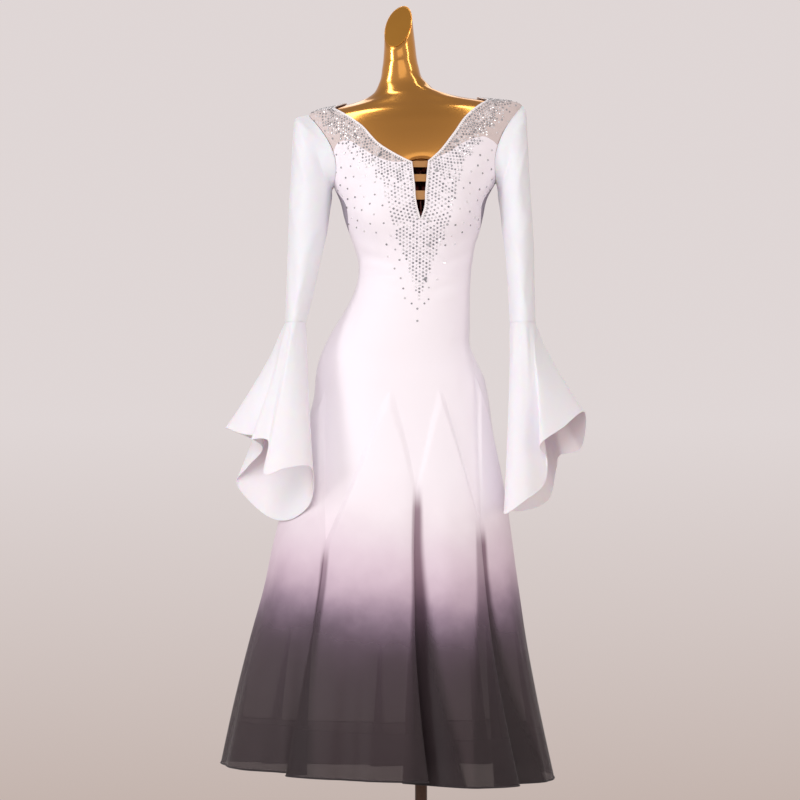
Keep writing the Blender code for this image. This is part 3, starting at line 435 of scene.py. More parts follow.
def fittedPanel(name, surface, outline, wall, finish, scale=cloth["angleScale"], step=None,
                replaces=(), marks=None):
    step = step or cloth["gridStep"]
    flat = np.array(outline, dtype=float) * (scale, 1.0)
    low, high = flat.min(axis=0), flat.max(axis=0)
    rows = np.arange(low[1] + step / 2, high[1], step * 0.87)
    grid = [(x + (step / 2 if i % 2 else 0), y) for i, y in enumerate(rows)
            for x in np.arange(low[0], high[0], step)]
    x, y = np.array(grid).T
    keep = insideLoop(flat, x, y) & (loopDistance(flat, x, y) > 0.5 * step)
    points = [tuple(p) for p in flat] + list(zip(x[keep], y[keep]))
    edges = [(i, (i + 1) % len(flat)) for i in range(len(flat))]
    made = delaunay_2d_cdt(points, edges, [], 1, 1e-5)
    flatPoints = np.array([tuple(p) for p in made[0]])
    faces = [tuple(face) for face in made[2]]
    values = flatPoints / (scale, 1.0)
    place = surface(values[:, 0], values[:, 1])
    normals = surfaceNormals(surface, values[:, 0], values[:, 1])
    rim = list(range(len(flat)))
    turn = np.sign(np.sum(flat[:, 0] * np.roll(flat[:, 1], -1) - np.roll(flat[:, 0], -1) * flat[:, 1]))
    loop = place[rim]
    way = unit(np.roll(loop, -1, axis=0) - loop) + unit(loop - np.roll(loop, 1, axis=0))
    inward = np.cross(normals[rim], way) * turn
    inward = inward / np.maximum(np.linalg.norm(inward, axis=1, keepdims=True), 0.2)
    place[rim] = loop + inward * cloth["seamGap"]
    count = len(place)
    verts = np.concatenate([place, place - normals * wall])
    faces = faces + [tuple(i + count for i in reversed(face)) for face in faces]
    faces += [(a, a + count, b + count, b) for a, b in zip(rim, rim[1:] + rim[:1])]
    uvs = np.concatenate([flatPoints, flatPoints])
    piece = addPiece(name, verts, faces, finish, uvs, replaces)
    if marks:
        made = marks(values[:, 0], values[:, 1])
        setMarks(piece, {label: np.tile(mark, 2) for label, mark in made.items()})
    return piece


def gridFaces(rows, columns, closed):
    across = columns if closed else columns - 1
    return [(r * columns + c, r * columns + (c + 1) % columns,
             (r + 1) * columns + (c + 1) % columns, (r + 1) * columns + c)
            for r in range(rows - 1) for c in range(across)]


def gridShell(name, points, normals, wall, finish, closed, replaces=()):
    rows, columns = points.shape[:2]
    count = rows * columns
    verts = np.concatenate([points.reshape(-1, 3), (points - normals * wall).reshape(-1, 3)])
    skin = gridFaces(rows, columns, closed)
    faces = skin + [tuple(i + count for i in reversed(face)) for face in skin]
    if closed:
        for start in (0, (rows - 1) * columns):
            ring = [start + c for c in range(columns)]
            faces += [(a, a + count, b + count, b) for a, b in zip(ring, ring[1:] + ring[:1])]
    else:
        rim = [c for c in range(columns)] + [r * columns + columns - 1 for r in range(1, rows)]
        rim += [(rows - 1) * columns + c for c in range(columns - 2, -1, -1)]
        rim += [r * columns for r in range(rows - 2, 0, -1)]
        faces += [(a, a + count, b + count, b) for a, b in zip(rim, rim[1:] + rim[:1])]
    stepsAcross = np.linalg.norm(np.diff(points, axis=1), axis=2)
    stepsDown = np.linalg.norm(np.diff(points, axis=0), axis=2)
    u = np.concatenate([np.zeros((rows, 1)), stepsAcross], axis=1).cumsum(axis=1)
    v = np.concatenate([np.zeros((1, columns)), stepsDown]).cumsum(axis=0)
    uv = np.stack([u, v], axis=-1).reshape(-1, 2)
    return addPiece(name, verts, faces, finish, np.concatenate([uv, uv]), replaces)


def cordVerts(path, normals, radius, sides, closed, sink):
    # A thin round ridge along a path, sunk into the cloth along its normals
    path = np.asarray(path, dtype=float)
    ahead = np.roll(path, -1, axis=0) - np.roll(path, 1, axis=0)
    if not closed:
        ahead[0] = path[1] - path[0]
        ahead[-1] = path[-1] - path[-2]
    across = unit(np.cross(normals, unit(ahead)))
    middle = path - normals * sink
    turn = np.arange(sides) * 2 * np.pi / sides
    ring = across[:, None, :] * np.cos(turn)[None, :, None]
    ring = ring + normals[:, None, :] * np.sin(turn)[None, :, None]
    verts = (middle[:, None, :] + ring * radius).reshape(-1, 3)
    count = len(path)
    faces = []
    for i in range(count if closed else count - 1):
        j = (i + 1) % count
        faces += [(i * sides + k, i * sides + (k + 1) % sides, j * sides + (k + 1) % sides, j * sides + k)
                  for k in range(sides)]
    if not closed:
        faces += [tuple(range(sides)), tuple(range((count - 1) * sides, count * sides))]
    return verts, faces


def addCords(name, runs, finish, sides=6, replaces=(), marks=None):
    # runs: (path, normals, radius, closed, sink); marks: values for each point of the paths
    verts, faces = [], []
    for path, normals, radius, closed, sink in runs:
        more, moreFaces = cordVerts(path, normals, radius, sides, closed, sink)
        shift = sum(len(v) for v in verts)
        verts.append(more)
        faces += [tuple(i + shift for i in face) for face in moreFaces]
    piece = addPiece(name, np.concatenate(verts), faces, finish, None, replaces)
    if marks:
        setMarks(piece, {label: np.repeat(mark, sides) for label, mark in marks.items()})
    return piece


# Materials: shared effects are groups that put out only values, colours and normals
def newGroup(name, inputs, outputs):
    group = bpy.data.node_groups.new(name, "ShaderNodeTree")
    for label, kind, value in inputs:
        socket = group.interface.new_socket(label, in_out="INPUT", socket_type=kind)
        if value is not None:
            socket.default_value = value
    for label, kind in outputs:
        group.interface.new_socket(label, in_out="OUTPUT", socket_type=kind)
    return group, group.nodes.new("NodeGroupInput"), group.nodes.new("NodeGroupOutput")


def mathNode(tree, operation, first, second=None, clamp=False):
    node = tree.nodes.new("ShaderNodeMath")
    node.operation = operation
    node.use_clamp = clamp
    for socket, value in zip(node.inputs, (first, second)):
        if isinstance(value, bpy.types.NodeSocket):
            tree.links.new(value, socket)
        elif value is not None:
            socket.default_value = value
    return node.outputs[0]


def makeThreadGroup():
    # Crossing threads: Height for the bump, Thread from 0 in a gap to 1 on a thread
    group, given, out = newGroup(
        "threads",
        (("Pitch mm", "NodeSocketFloat", 0.6), ("Slant", "NodeSocketFloat", 0.0)),
        (("Height", "NodeSocketFloat"), ("Thread", "NodeSocketFloat")),
    )
    uv = group.nodes.new("ShaderNodeUVMap")
    uv.uv_map = "cloth"
    parts = group.nodes.new("ShaderNodeSeparateXYZ")
    group.links.new(uv.outputs["UV"], parts.inputs[0])
    rate = mathNode(group, "DIVIDE", 2 * math.pi * 1000, given.outputs["Pitch mm"])
    slanted = mathNode(group, "MULTIPLY", parts.outputs["Y"], given.outputs["Slant"])
    acrossWay = mathNode(group, "ADD", parts.outputs["X"], slanted)
    slantedBack = mathNode(group, "MULTIPLY", parts.outputs["X"], given.outputs["Slant"])
    alongWay = mathNode(group, "SUBTRACT", parts.outputs["Y"], slantedBack)
    waves = []
    for way in (acrossWay, alongWay):
        wave = mathNode(group, "SINE", mathNode(group, "MULTIPLY", way, rate))
        waves.append(mathNode(group, "MULTIPLY_ADD", wave, 0.5))
        group.nodes[-1].inputs[2].default_value = 0.5
    top = mathNode(group, "MAXIMUM", waves[0], waves[1])
    group.links.new(top, out.inputs["Thread"])
    group.links.new(mathNode(group, "ADD", waves[0], waves[1]), out.inputs["Height"])
    return group


def makeMottleGroup():
    # Slow uneven tone, 0 to 1 about 0.5, that keeps a dyed surface from looking flat
    group, given, out = newGroup(
        "mottle", (("Size m", "NodeSocketFloat", 0.05),), (("Tone", "NodeSocketFloat"),))
    coords = group.nodes.new("ShaderNodeTexCoord")
    noise = group.nodes.new("ShaderNodeTexNoise")
    noise.inputs["Detail"].default_value = 4.0
    group.links.new(coords.outputs["Object"], noise.inputs["Vector"])
    group.links.new(mathNode(group, "DIVIDE", 1.0, given.outputs["Size m"]), noise.inputs["Scale"])
    group.links.new(noise.outputs["Fac"], out.inputs["Tone"])
    return group


ombre = {
    "low": 0.20, "high": 0.80,             # levels in metres that the dye runs between
    "foldShadeLift": 0.032,                     # how much higher the dye is pushed in a fold, as painted shade
    # colour multiplied into the folds: painted shade
    "foldShadeTint": (0.38, 0.30, 0.34),
    "foldCover": 0.88,                     # alpha where the cloth lies doubled in a fold
    "wander": 0.048,                       # how far the dye's edge wanders for the whole range of tone
    "dye": (                               # level, colour
        (0.20, (0.044, 0.029, 0.032)), (0.34, (0.055, 0.037, 0.043)), (0.41, (0.062, 0.041, 0.052)),
        (0.446, (0.078, 0.052, 0.069)), (0.482, (0.125, 0.085, 0.120)), (0.518, (0.29, 0.210, 0.29)),
        (0.554, (0.60, 0.46, 0.57)), (0.590, (0.78, 0.64, 0.74)), (0.626, (0.85, 0.73, 0.82)),
        (0.662, (0.88, 0.79, 0.86)), (0.70, (0.92, 0.86, 0.91)), (0.77, (0.95, 0.92, 0.97)),
    ),
    "cover": (                             # level, alpha of one face of the cloth
        (0.20, 0.60), (0.41, 0.62), (0.48, 0.68), (0.55, 0.78), (0.64, 0.90), (0.72, 1.0),
    ),
}


def rampNode(tree, rows, asColour):
    node = tree.nodes.new("ShaderNodeValToRGB")
    node.color_ramp.interpolation = "B_SPLINE" if asColour else "LINEAR"
    stops = node.color_ramp.elements
    stops.remove(stops[1])
    for number, (level, value) in enumerate(rows):
        position = (level - ombre["low"]) / (ombre["high"] - ombre["low"])
        stop = stops.new(position) if number else stops[0]
        stop.position = position
        stop.color = (*value, 1.0) if asColour else (value, value, value, 1.0)
    return node


def attributeNode(tree, label):
    node = tree.nodes.new("ShaderNodeAttribute")
    node.attribute_name = label
    return node.outputs["Fac"]


def multiplied(tree, share, colour, tint):
    mix = tree.nodes.new("ShaderNodeMix")
    mix.data_type, mix.blend_type = "RGBA", "MULTIPLY"
    mix.inputs[7].default_value = (*tint, 1.0)
    tree.links.new(share, mix.inputs[0])
    tree.links.new(colour, mix.inputs[6])
    return mix.outputs[2]


def makeOmbreGroup():
    group, given, out = newGroup(
        "ombre", (("Mottle", "NodeSocketFloat", 0.5),),
        (("Color", "NodeSocketColor"), ("Cover", "NodeSocketFloat")),
    )
    # The fold mark is painted shade: it darkens the dye and colour in the folds, and raises the cover where
    # the cloth lies doubled
    fold = attributeNode(group, "fold")
    drift = mathNode(group, "SUBTRACT", given.outputs["Mottle"], 0.5)
    drift = mathNode(group, "MULTIPLY", drift, ombre["wander"])
    lift = mathNode(group, "MULTIPLY", fold, ombre["foldShadeLift"])
    shift = mathNode(group, "SUBTRACT", drift, lift)
    height = mathNode(group, "ADD", attributeNode(group, "dyeHeight"), shift)
    height = mathNode(group, "SUBTRACT", height, ombre["low"])
    share = mathNode(group, "DIVIDE", height, ombre["high"] - ombre["low"], clamp=True)
    dye = rampNode(group, ombre["dye"], True)
    cover = rampNode(group, ombre["cover"], False)
    group.links.new(share, dye.inputs["Fac"])
    group.links.new(share, cover.inputs["Fac"])
    group.links.new(multiplied(group, fold, dye.outputs["Color"], ombre["foldShadeTint"]), out.inputs["Color"])
    doubled = mathNode(group, "MULTIPLY", fold, ombre["foldCover"])
    group.links.new(mathNode(group, "MAXIMUM", cover.outputs["Color"], doubled), out.inputs["Cover"])
    return group


def newFinish(name, roughness, metallic=0.0, **sockets):
    finish = bpy.data.materials.new(name)
    finish.use_nodes = True
    tree = finish.node_tree
    shader = tree.nodes["Principled BSDF"]
    shader.inputs["Roughness"].default_value = roughness
    shader.inputs["Metallic"].default_value = metallic
    for label, value in sockets.items():
        shader.inputs[label.replace("_", " ")].default_value = value
    return finish, tree, shader


def placeGroup(tree, group, **values):
    node = tree.nodes.new("ShaderNodeGroup")
    node.node_tree = group
    for label, value in values.items():
        node.inputs[label.replace("_", " ")].default_value = value
    return node


def addBump(tree, shader, height, strength, distance):
    bump = tree.nodes.new("ShaderNodeBump")
    bump.inputs["Strength"].default_value = strength
    bump.inputs["Distance"].default_value = distance
    tree.links.new(height, bump.inputs["Height"])
    tree.links.new(bump.outputs["Normal"], shader.inputs["Normal"])


def toned(tree, mottle, dark, light):
    mix = tree.nodes.new("ShaderNodeMix")
    mix.data_type = "RGBA"
    mix.inputs[6].default_value = (*dark, 1.0)
    mix.inputs[7].default_value = (*light, 1.0)
    tree.links.new(mottle, mix.inputs[0])
    return mix.outputs[2]


threadGroup = makeThreadGroup()
mottleGroup = makeMottleGroup()
ombreGroup = makeOmbreGroup()


def clothFinish(name, dark, light, roughness, pitch, depth, sheen, slant=0.0, mottleSize=0.05, glow=0.0):
    finish, tree, shader = newFinish(name, roughness, Sheen_Weight=sheen, Sheen_Roughness=0.4,
                                     Subsurface_Weight=glow, Subsurface_Scale=0.002)
    threads = placeGroup(tree, threadGroup, Pitch_mm=pitch, Slant=slant)
    mottle = placeGroup(tree, mottleGroup, Size_m=mottleSize)
    tree.links.new(toned(tree, mottle.outputs["Tone"], dark, light), shader.inputs["Base Color"])
    addBump(tree, shader, threads.outputs["Height"], 0.35, depth * mm)
    return finish


def netFinish(name, dark, light, pitch, lowCover, highCover):
    finish, tree, shader = newFinish(name, 0.8, Sheen_Weight=0.2)
    threads = placeGroup(tree, threadGroup, Pitch_mm=pitch, Slant=1.0)
    mottle = placeGroup(tree, mottleGroup, Size_m=0.03)
    tree.links.new(toned(tree, mottle.outputs["Tone"], dark, light), shader.inputs["Base Color"])
    cover = tree.nodes.new("ShaderNodeMapRange")
    cover.inputs["To Min"].default_value = lowCover
    cover.inputs["To Max"].default_value = highCover
    tree.links.new(threads.outputs["Thread"], cover.inputs["Value"])
    tree.links.new(cover.outputs["Result"], shader.inputs["Alpha"])
    addBump(tree, shader, threads.outputs["Height"], 0.4, 0.15 * mm)
    return finish


def dyedFinish(name, roughness, sheen, sheenRoughness, pitch, mottleSize, strength, depth, sheer):
    finish, tree, shader = newFinish(name, roughness, Sheen_Weight=sheen, Sheen_Roughness=sheenRoughness)
    threads = placeGroup(tree, threadGroup, Pitch_mm=pitch)
    mottle = placeGroup(tree, mottleGroup, Size_m=mottleSize)
    dye = placeGroup(tree, ombreGroup)
    tree.links.new(mottle.outputs["Tone"], dye.inputs["Mottle"])
    tree.links.new(dye.outputs["Color"], shader.inputs["Base Color"])
    if sheer:
        tree.links.new(dye.outputs["Cover"], shader.inputs["Alpha"])
    addBump(tree, shader, threads.outputs["Height"], strength, depth * mm)
    return finish


def goldFinish():
    # Gold lacquer, with painted shade: its colour is darkened by a tint in the hollow behind the slit
    finish, tree, shader = newFinish("goldLacquer", 0.16, 1.0, Coat_Weight=0.3, Coat_Roughness=0.05)
    mottle = placeGroup(tree, mottleGroup, Size_m=0.08)
    gold = toned(tree, mottle.outputs["Tone"], (0.58, 0.265, 0.055), (0.62, 0.29, 0.065))
    # painted shade: the gold multiplied by a dark tint in the hollow
    tree.links.new(multiplied(tree, attributeNode(tree, "paintedShade"), gold, (0.24, 0.18, 0.80)),
                   shader.inputs["Base Color"])
    return finish


def metalFinish(name, dark, light, roughness, coat=0.0, metallic=1.0, grain=0.0):
    finish, tree, shader = newFinish(name, roughness, metallic, Coat_Weight=coat, Coat_Roughness=0.05)
    mottle = placeGroup(tree, mottleGroup, Size_m=0.08)
    tree.links.new(toned(tree, mottle.outputs["Tone"], dark, light), shader.inputs["Base Color"])
    if grain:
        fine = placeGroup(tree, mottleGroup, Size_m=0.004)
        addBump(tree, shader, fine.outputs["Tone"], grain, 0.3 * mm)
    return finish


def stoneFinish():
    finish, tree, shader = newFinish("rhinestone", 0.12, 0.35, Coat_Weight=0.6, Coat_Roughness=0.03)
    # Each stone's colour runs with its tint mark from dark grey to bright silver: partly the stones' own
    # tone, partly painted reflection of dark surroundings and painted glint
    ramp = tree.nodes.new("ShaderNodeValToRGB")
    stops = ramp.color_ramp.elements
    stops[0].color = (0.24, 0.25, 0.27, 1.0)
    stops[1].position, stops[1].color = 0.6, (0.50, 0.51, 0.53, 1.0)
    stops.new(0.85).color = (0.88, 0.88, 0.90, 1.0)
    tree.links.new(attributeNode(tree, "tint"), ramp.inputs["Fac"])
    tree.links.new(ramp.outputs["Color"], shader.inputs["Base Color"])
    return finish


finishes = {
    "dyedKnit": dyedFinish("dyedStretchKnit", 0.55, 0.25, 0.4, 0.7, 0.05, 0.35, 0.10, False),
    "knit": clothFinish("whiteStretchKnit", (0.93, 0.90, 0.96), (0.96, 0.93, 0.98), 0.55, 0.7, 0.10, 0.25),
    "crepe": clothFinish("whiteCrepe", (0.90, 0.87, 0.93), (0.94, 0.91, 0.96), 0.6, 0.55, 0.08, 0.2, 0.3,
                         glow=0.35),
    "net": netFinish("nudeNet", (0.78, 0.68, 0.66), (0.86, 0.77, 0.75), 1.4, 0.6, 0.9),
    # The side insets' net is coloured dark: painted shade for the shaded sides under the arms
    "insetNet": netFinish("insetNetPaintedShade", (0.34, 0.31, 0.38), (0.44, 0.40, 0.48), 1.4, 0.6, 0.9),
    "chiffon": dyedFinish("ombreChiffon", 0.62, 0.15, 0.35, 0.5, 0.06, 0.3, 0.08, True),
    "band": netFinish("blackHorsehair", (0.012, 0.010, 0.012), (0.03, 0.025, 0.028), 2.0, 0.15, 0.45),
    "hemRoll": clothFinish("darkRolledHem", (0.012, 0.009, 0.011), (0.03, 0.022, 0.026), 0.7, 0.5, 0.1, 0.1),
    "binding": clothFinish("whiteBinding", (0.90, 0.88, 0.89), (0.95, 0.93, 0.94), 0.45, 0.6, 0.12, 0.2, 1.0),
    "elastic": clothFinish("tanElastic", (0.42, 0.21, 0.07), (0.48, 0.25, 0.09), 0.6, 1.4, 0.25, 0.1),
    "gold": goldFinish(),
    "plate": metalFinish("dullGoldPlate", (0.62, 0.29, 0.052), (0.74, 0.37, 0.07), 0.34, grain=0.15),
    "steel": metalFinish("darkBronze", (0.05, 0.028, 0.02), (0.08, 0.045, 0.032), 0.24, coat=0.3, grain=0.05),
    "stone": stoneFinish(),
}
print("finishes ready:", len(finishes))

# The fitted cloth. Neckline and seams as seen from the front (x, z); the back half in degrees past
# the side and level.
bodiceCut = {
    "neckline": {left: ((-16, 1334), (-45, 1349), (-74, 1368), (-107, 1404)),
                 right: ((12, 1336), (35, 1358), (56, 1386), (77, 1417))},
    "slit": {left: ((-16, 1334), (-14, 1318), (-11, 1292), (-7, 1255), (-1, 1233)),
             right: ((12, 1336), (9.5, 1313), (7, 1284), (5.5, 1255), (-1, 1233))},
    "yokeSeam": {left: ((-148, 1372), (-128, 1374), (-107, 1361), (-86, 1347), (-52, 1334)),
                 right: ((127, 1376), (110, 1382), (93, 1378), (76, 1370), (48, 1351))},
    "backNeckline": ((24, 1463), (52, 1438), (76, 1412), (84, 1404)),
    "backYokeSeam": ((72, 1396), (54, 1380), (40, 1374)),
    "neckAtShoulder": 1474,
    "armholeMiddle": 1372, "armholeHalfHeight": 69, "armholeHalfAngle": 30,
    "cornerFront": 98, "cornerBack": 90,
    "insetEnd": 1212, "insetFrontAngle": 21, "insetBackAngle": 13,
    "sideAngle": {left: -177.0, right: 2.0},
    "bindingStart": 0.5, "bindingWidth": 4.5, "bindingLift": 0.4, "bindingHeight": 1.0,
    # Section of the binding, as shares of its width and height
    "bindingSection": (
        (0, 0), (0, 0.65), (0.1, 0.95), (0.35, 1), (0.45, 0.55), (0.55, 0.55), (0.65, 1), (0.9, 0.95),
        (1, 0.65), (1, 0),
    ),
}


def armhole(side, turn):
    turn = np.radians(turn)
    level = bodiceCut["armholeMiddle"] + bodiceCut["armholeHalfHeight"] * np.cos(turn)
    toFront = bodiceCut["armholeHalfAngle"] * np.sin(turn)
    return np.column_stack([(-180 + toFront) if side == left else -toFront, level])


def pastSide(side, values):
    return [(-180 - past, level) if side == left else (past, level) for past, level in values]


def seamLines(side):
    step = cloth["seamStep"]
    sideAngle = -180.0 if side == left else 0.0
    near = -120.0 if side == left else -60.0
    neck = [tuple(p) for p in frontPlaces(bodiceCut["neckline"][side], near)]
    backNeck = pastSide(side, bodiceCut["backNeckline"])
    lines = {"neckline": resample(neck + [(sideAngle, bodiceCut["neckAtShoulder"])] + backNeck, step)}
    lines["slit"] = resample(frontPlaces(bodiceCut["slit"][side], -90), step)
    arc = armhole(side, np.linspace(bodiceCut["cornerFront"], -bodiceCut["cornerBack"], 41))
    lines["armholeYoke"] = arc
    lines["armholeFront"] = armhole(side, np.linspace(bodiceCut["cornerFront"], 180, 18))
    lines["armholeBack"] = armhole(side, np.linspace(180, 360 - bodiceCut["cornerBack"], 18))
    seam = [tuple(p) for p in frontPlaces(bodiceCut["yokeSeam"][side], near)]
    lines["yokeSeam"] = resample([tuple(arc[0])] + seam + [neck[0]], step)
    back = pastSide(side, reversed(bodiceCut["backYokeSeam"]))
    lines["backSeam"] = resample([tuple(arc[-1])] + back + [backNeck[-1]], step)
    pit = bodiceCut["armholeMiddle"] - bodiceCut["armholeHalfHeight"]
    seamAngle = bodiceCut["sideAngle"][side]
    levels = np.linspace(pit, bodiceCut["insetEnd"], 19)
    bulge = np.sin(np.pi * np.linspace(0, 1, 19))
    toSeam = np.linspace(sideAngle, seamAngle, 19)
    lines["insetFront"] = np.column_stack([toSeam - side * bulge * bodiceCut["insetFrontAngle"], levels])
    lines["insetBack"] = np.column_stack([toSeam + side * bulge * bodiceCut["insetBackAngle"], levels])
    sideLevels = np.linspace(bodiceCut["insetEnd"], skirtCut["waist"], 17)
    lines["side"] = np.column_stack([np.full(17, seamAngle), sideLevels])
    return lines


lines = {left: seamLines(left), right: seamLines(right)}
fullTurn = np.array([360.0, 0.0])
bodyOutlines = []            # outline in angle and level, whether it is a yoke


def addBodice():
    l, r = lines[left], lines[right]
    waist = skirtCut["waist"]
    places = np.linspace(0, 4, 65)
    frontWaist = [(a, waist) for a in skirtAngle(places)]
    backWaist = [(a, waist) for a in skirtAngle(places + 4)]
    front = join(
        frontWaist, r["side"][::-1], r["insetFront"][::-1], r["armholeFront"][::-1], r["yokeSeam"],
        r["slit"], l["slit"][::-1], l["yokeSeam"][::-1], l["armholeFront"], l["insetFront"], l["side"],
    )
    backNeck = np.linspace(l["neckline"][-1] + fullTurn, r["neckline"][-1], 6)
    back = join(
        backWaist, l["side"][::-1] + fullTurn, l["insetBack"][::-1] + fullTurn,
        l["armholeBack"] + fullTurn, l["backSeam"] + fullTurn, backNeck, r["backSeam"][::-1],
        r["armholeBack"][::-1], r["insetBack"], r["side"],
    )
    bodyOutlines.extend([(front, False), (back, False)])
    for name, node, outline in (("bodiceFront", "bodice_front", front), ("bodiceBack", "bodice_back", back)):
        piece = fittedPanel(name, clothPoint, outline, cloth["knitWall"], finishes["knit"],
                            replaces=(node,))
    for name, side in (("left", left), ("right", right)):
        line = lines[side]
        yoke = join(line["yokeSeam"][::-1], line["armholeYoke"], line["backSeam"], line["neckline"][::-1])
        bodyOutlines.append((yoke, True))
        piece = fittedPanel("yoke" + name.title(), bodyPoint, yoke, cloth["netWall"], finishes["net"],
                            step=cloth["yokeStep"], replaces=("yoke_" + name,))
        inset = join(line["insetFront"], line["insetBack"][::-1])
        piece = fittedPanel("sideInset" + name.title(), bodyPoint, inset, cloth["netWall"],
                            finishes["insetNet"], step=3.0, replaces=("side_inset_" + name,))


addBodice()
print("bodice, yokes and insets made")


def bindingPath():
    l, r = lines[left], lines[right]
    back = np.linspace(l["neckline"][-1], r["neckline"][-1] - fullTurn, 6)
    path = join(l["slit"][::-1], l["neckline"], back, r["neckline"][::-1] - fullTurn, r["slit"] - fullTurn)
    return np.array(path)


def addBinding():
    # Two narrow rolls side by side, with a groove between them
    path = bindingPath()
    place = bodyPoint(path[:, 0], path[:, 1])
    normals = surfaceNormals(bodyPoint, path[:, 0], path[:, 1])
    across = unit(np.cross(normals, np.roll(place, -1, axis=0) - np.roll(place, 1, axis=0)))
    width, height = bodiceCut["bindingWidth"], bodiceCut["bindingHeight"]
    first, lift = bodiceCut["bindingStart"], bodiceCut["bindingLift"]
    section = bodiceCut["bindingSection"]
    rings = [place + across * (first + width * u) + normals * (lift + height * v) for u, v in section]
    verts = np.stack(rings, axis=1).reshape(-1, 3)
    size = len(section)
    faces = []
    for i in range(len(path)):
        a, b = size * i, size * ((i + 1) % len(path))
        faces += [(a + k, a + (k + 1) % size, b + (k + 1) % size, b + k) for k in range(size)]
    reach = np.concatenate([[0], np.linalg.norm(np.diff(place, axis=0), axis=1)]).cumsum()
    uvs = np.stack([np.repeat(reach, size), np.tile([u * width for u, _ in section], len(path))], axis=1)
    addPiece("neckBinding", verts, faces, finishes["binding"], uvs, ("neck_binding",))


straps = {
    "rows": ((1330, 11), (1305, 13), (1274, 16)),   # middle height, width
    "reach": 7.0, "lift": -2.5, "wall": 1.0,
    "ribs": 5, "ribHeight": 0.35,
}


def addStraps():
    for number, (middle, width) in enumerate(straps["rows"], 1):
        edges = []
        for side in (left, right):
            slit = np.array(bodiceCut["slit"][side])[::-1]
            edges.append(float(np.interp(middle, slit[:, 1], slit[:, 0])))
        across = np.linspace(edges[0] - straps["reach"], edges[1] + straps["reach"], 20)
        down = np.linspace(width / 2, -width / 2, 8 * straps["ribs"] + 1)
        values = np.array([frontPlaces([(x, middle + z) for x in across], -90) for z in down])
        place = bodyPoint(values[..., 0], values[..., 1])
        normals = surfaceNormals(bodyPoint, values[..., 0], values[..., 1])
        rib = np.abs(np.sin(np.linspace(0, straps["ribs"] * np.pi, len(down)))) ** 0.7 * straps["ribHeight"]
        place = place + normals * (straps["lift"] + rib[:, None, None])
        gridShell(f"slitStrap{number}", place, normals, straps["wall"], finishes["elastic"],
                  False, (f"slit_strap_{number}",))


addBinding()
addStraps()
print("binding and straps made")


def fineColumns():
    steps, columns = skirtCut["columnSteps"], skirtCut["columns"]
    return np.interp(np.arange((len(columns) - 1) * steps + 1) / steps, np.arange(len(columns)), columns)


def addHips():
    waist = skirtCut["waist"]
    parts = fineColumns()
    for name, start in (("Front", 0), ("Back", 4)):
        places = np.concatenate([start + i + parts[:-1] for i in range(4)] + [[start + 4.0]])
        end = start + 4
        seam = np.column_stack([places * fineScale, godetTop(places)])
        top = np.column_stack([np.linspace(end, start, 65) * fineScale, np.full(65, waist)])
        down = np.linspace(waist, seam[0][1], 62)[1:-1]
        up = np.linspace(seam[-1][1], waist, 62)[1:-1]
        firstSide = np.column_stack([np.full(60, start * fineScale), down])
        lastSide = np.column_stack([np.full(60, end * fineScale), up])
        outline = np.concatenate([top, firstSide, seam, lastSide])
        piece = fittedPanel("hip" + name, hipPoint, outline, cloth["knitWall"], finishes["dyedKnit"],
                            scale=1.1, replaces=("hip_" + name.lower(),),
                            marks=hipMarks)


hem = {"bandHeight": 80.0, "bandWall": 0.3, "bandGap": 0.35, "rollRadius": 1.5, "bandEdge": 1.3}


def addGodets():
    parts = fineColumns()
    bandPlaces, bandNormals, hemPlaces, hemNormals = [], [], [], []
    for number in range(len(skirtCut["godets"])):
        columns = number + parts
        low, top = hemLevel(skirtAngle(columns)), godetTop(columns)
        levels = low + (top - low) * np.linspace(1, 0, skirtCut["rows"])[:, None]
        columns = np.broadcast_to(columns, levels.shape)
        place = skirtPoint(columns, levels)
        normals = surfaceNormals(hipPoint, columns * fineScale, levels)
        hemPlaces.append(place[-1, :-1])
        hemNormals.append(normals[-1, :-1])
        bandLevels = low + hem["bandHeight"] * np.linspace(1, 0, 14)[:, None]
        bandColumns = np.broadcast_to(columns[0], bandLevels.shape)
        bandPlaces.append(skirtPoint(bandColumns, bandLevels)[:, :-1])
        bandNormals.append(surfaceNormals(hipPoint, bandColumns * fineScale, bandLevels)[:, :-1])
        sideways = unit(np.cross(normals, np.gradient(place, axis=0)))
        place = place.copy()
        place[:, 0] += sideways[:, 0] * cloth["seamGap"]
        place[:, -1] -= sideways[:, -1] * cloth["seamGap"]
        piece = gridShell(f"godet{number + 1}", place, normals, cloth["chiffonWall"], finishes["chiffon"],
                          False, (f"godet_{number + 1}",))
        marks = skirtMarks(columns, levels)
        setMarks(piece, {label: np.tile(mark.ravel(), 2) for label, mark in marks.items()})
    place = np.concatenate(bandPlaces, axis=1)
    normals = np.concatenate(bandNormals, axis=1)
    place = place - normals * (cloth["chiffonWall"] + hem["bandGap"])
    piece = gridShell("hemBand", place, normals, hem["bandWall"], finishes["band"],
                      True, ("hem_band",))
    addCords("hemBandEdge", [(place[0], normals[0], hem["bandEdge"], True, hem["bandEdge"])],
             finishes["hemRoll"])
    path, normals = np.concatenate(hemPlaces), np.concatenate(hemNormals)
    addCords("rolledHem", [(path, normals, hem["rollRadius"], True, 0.4)], finishes["hemRoll"],
             sides=8)


addHips()
addGodets()
print("hips, godets and hem made")


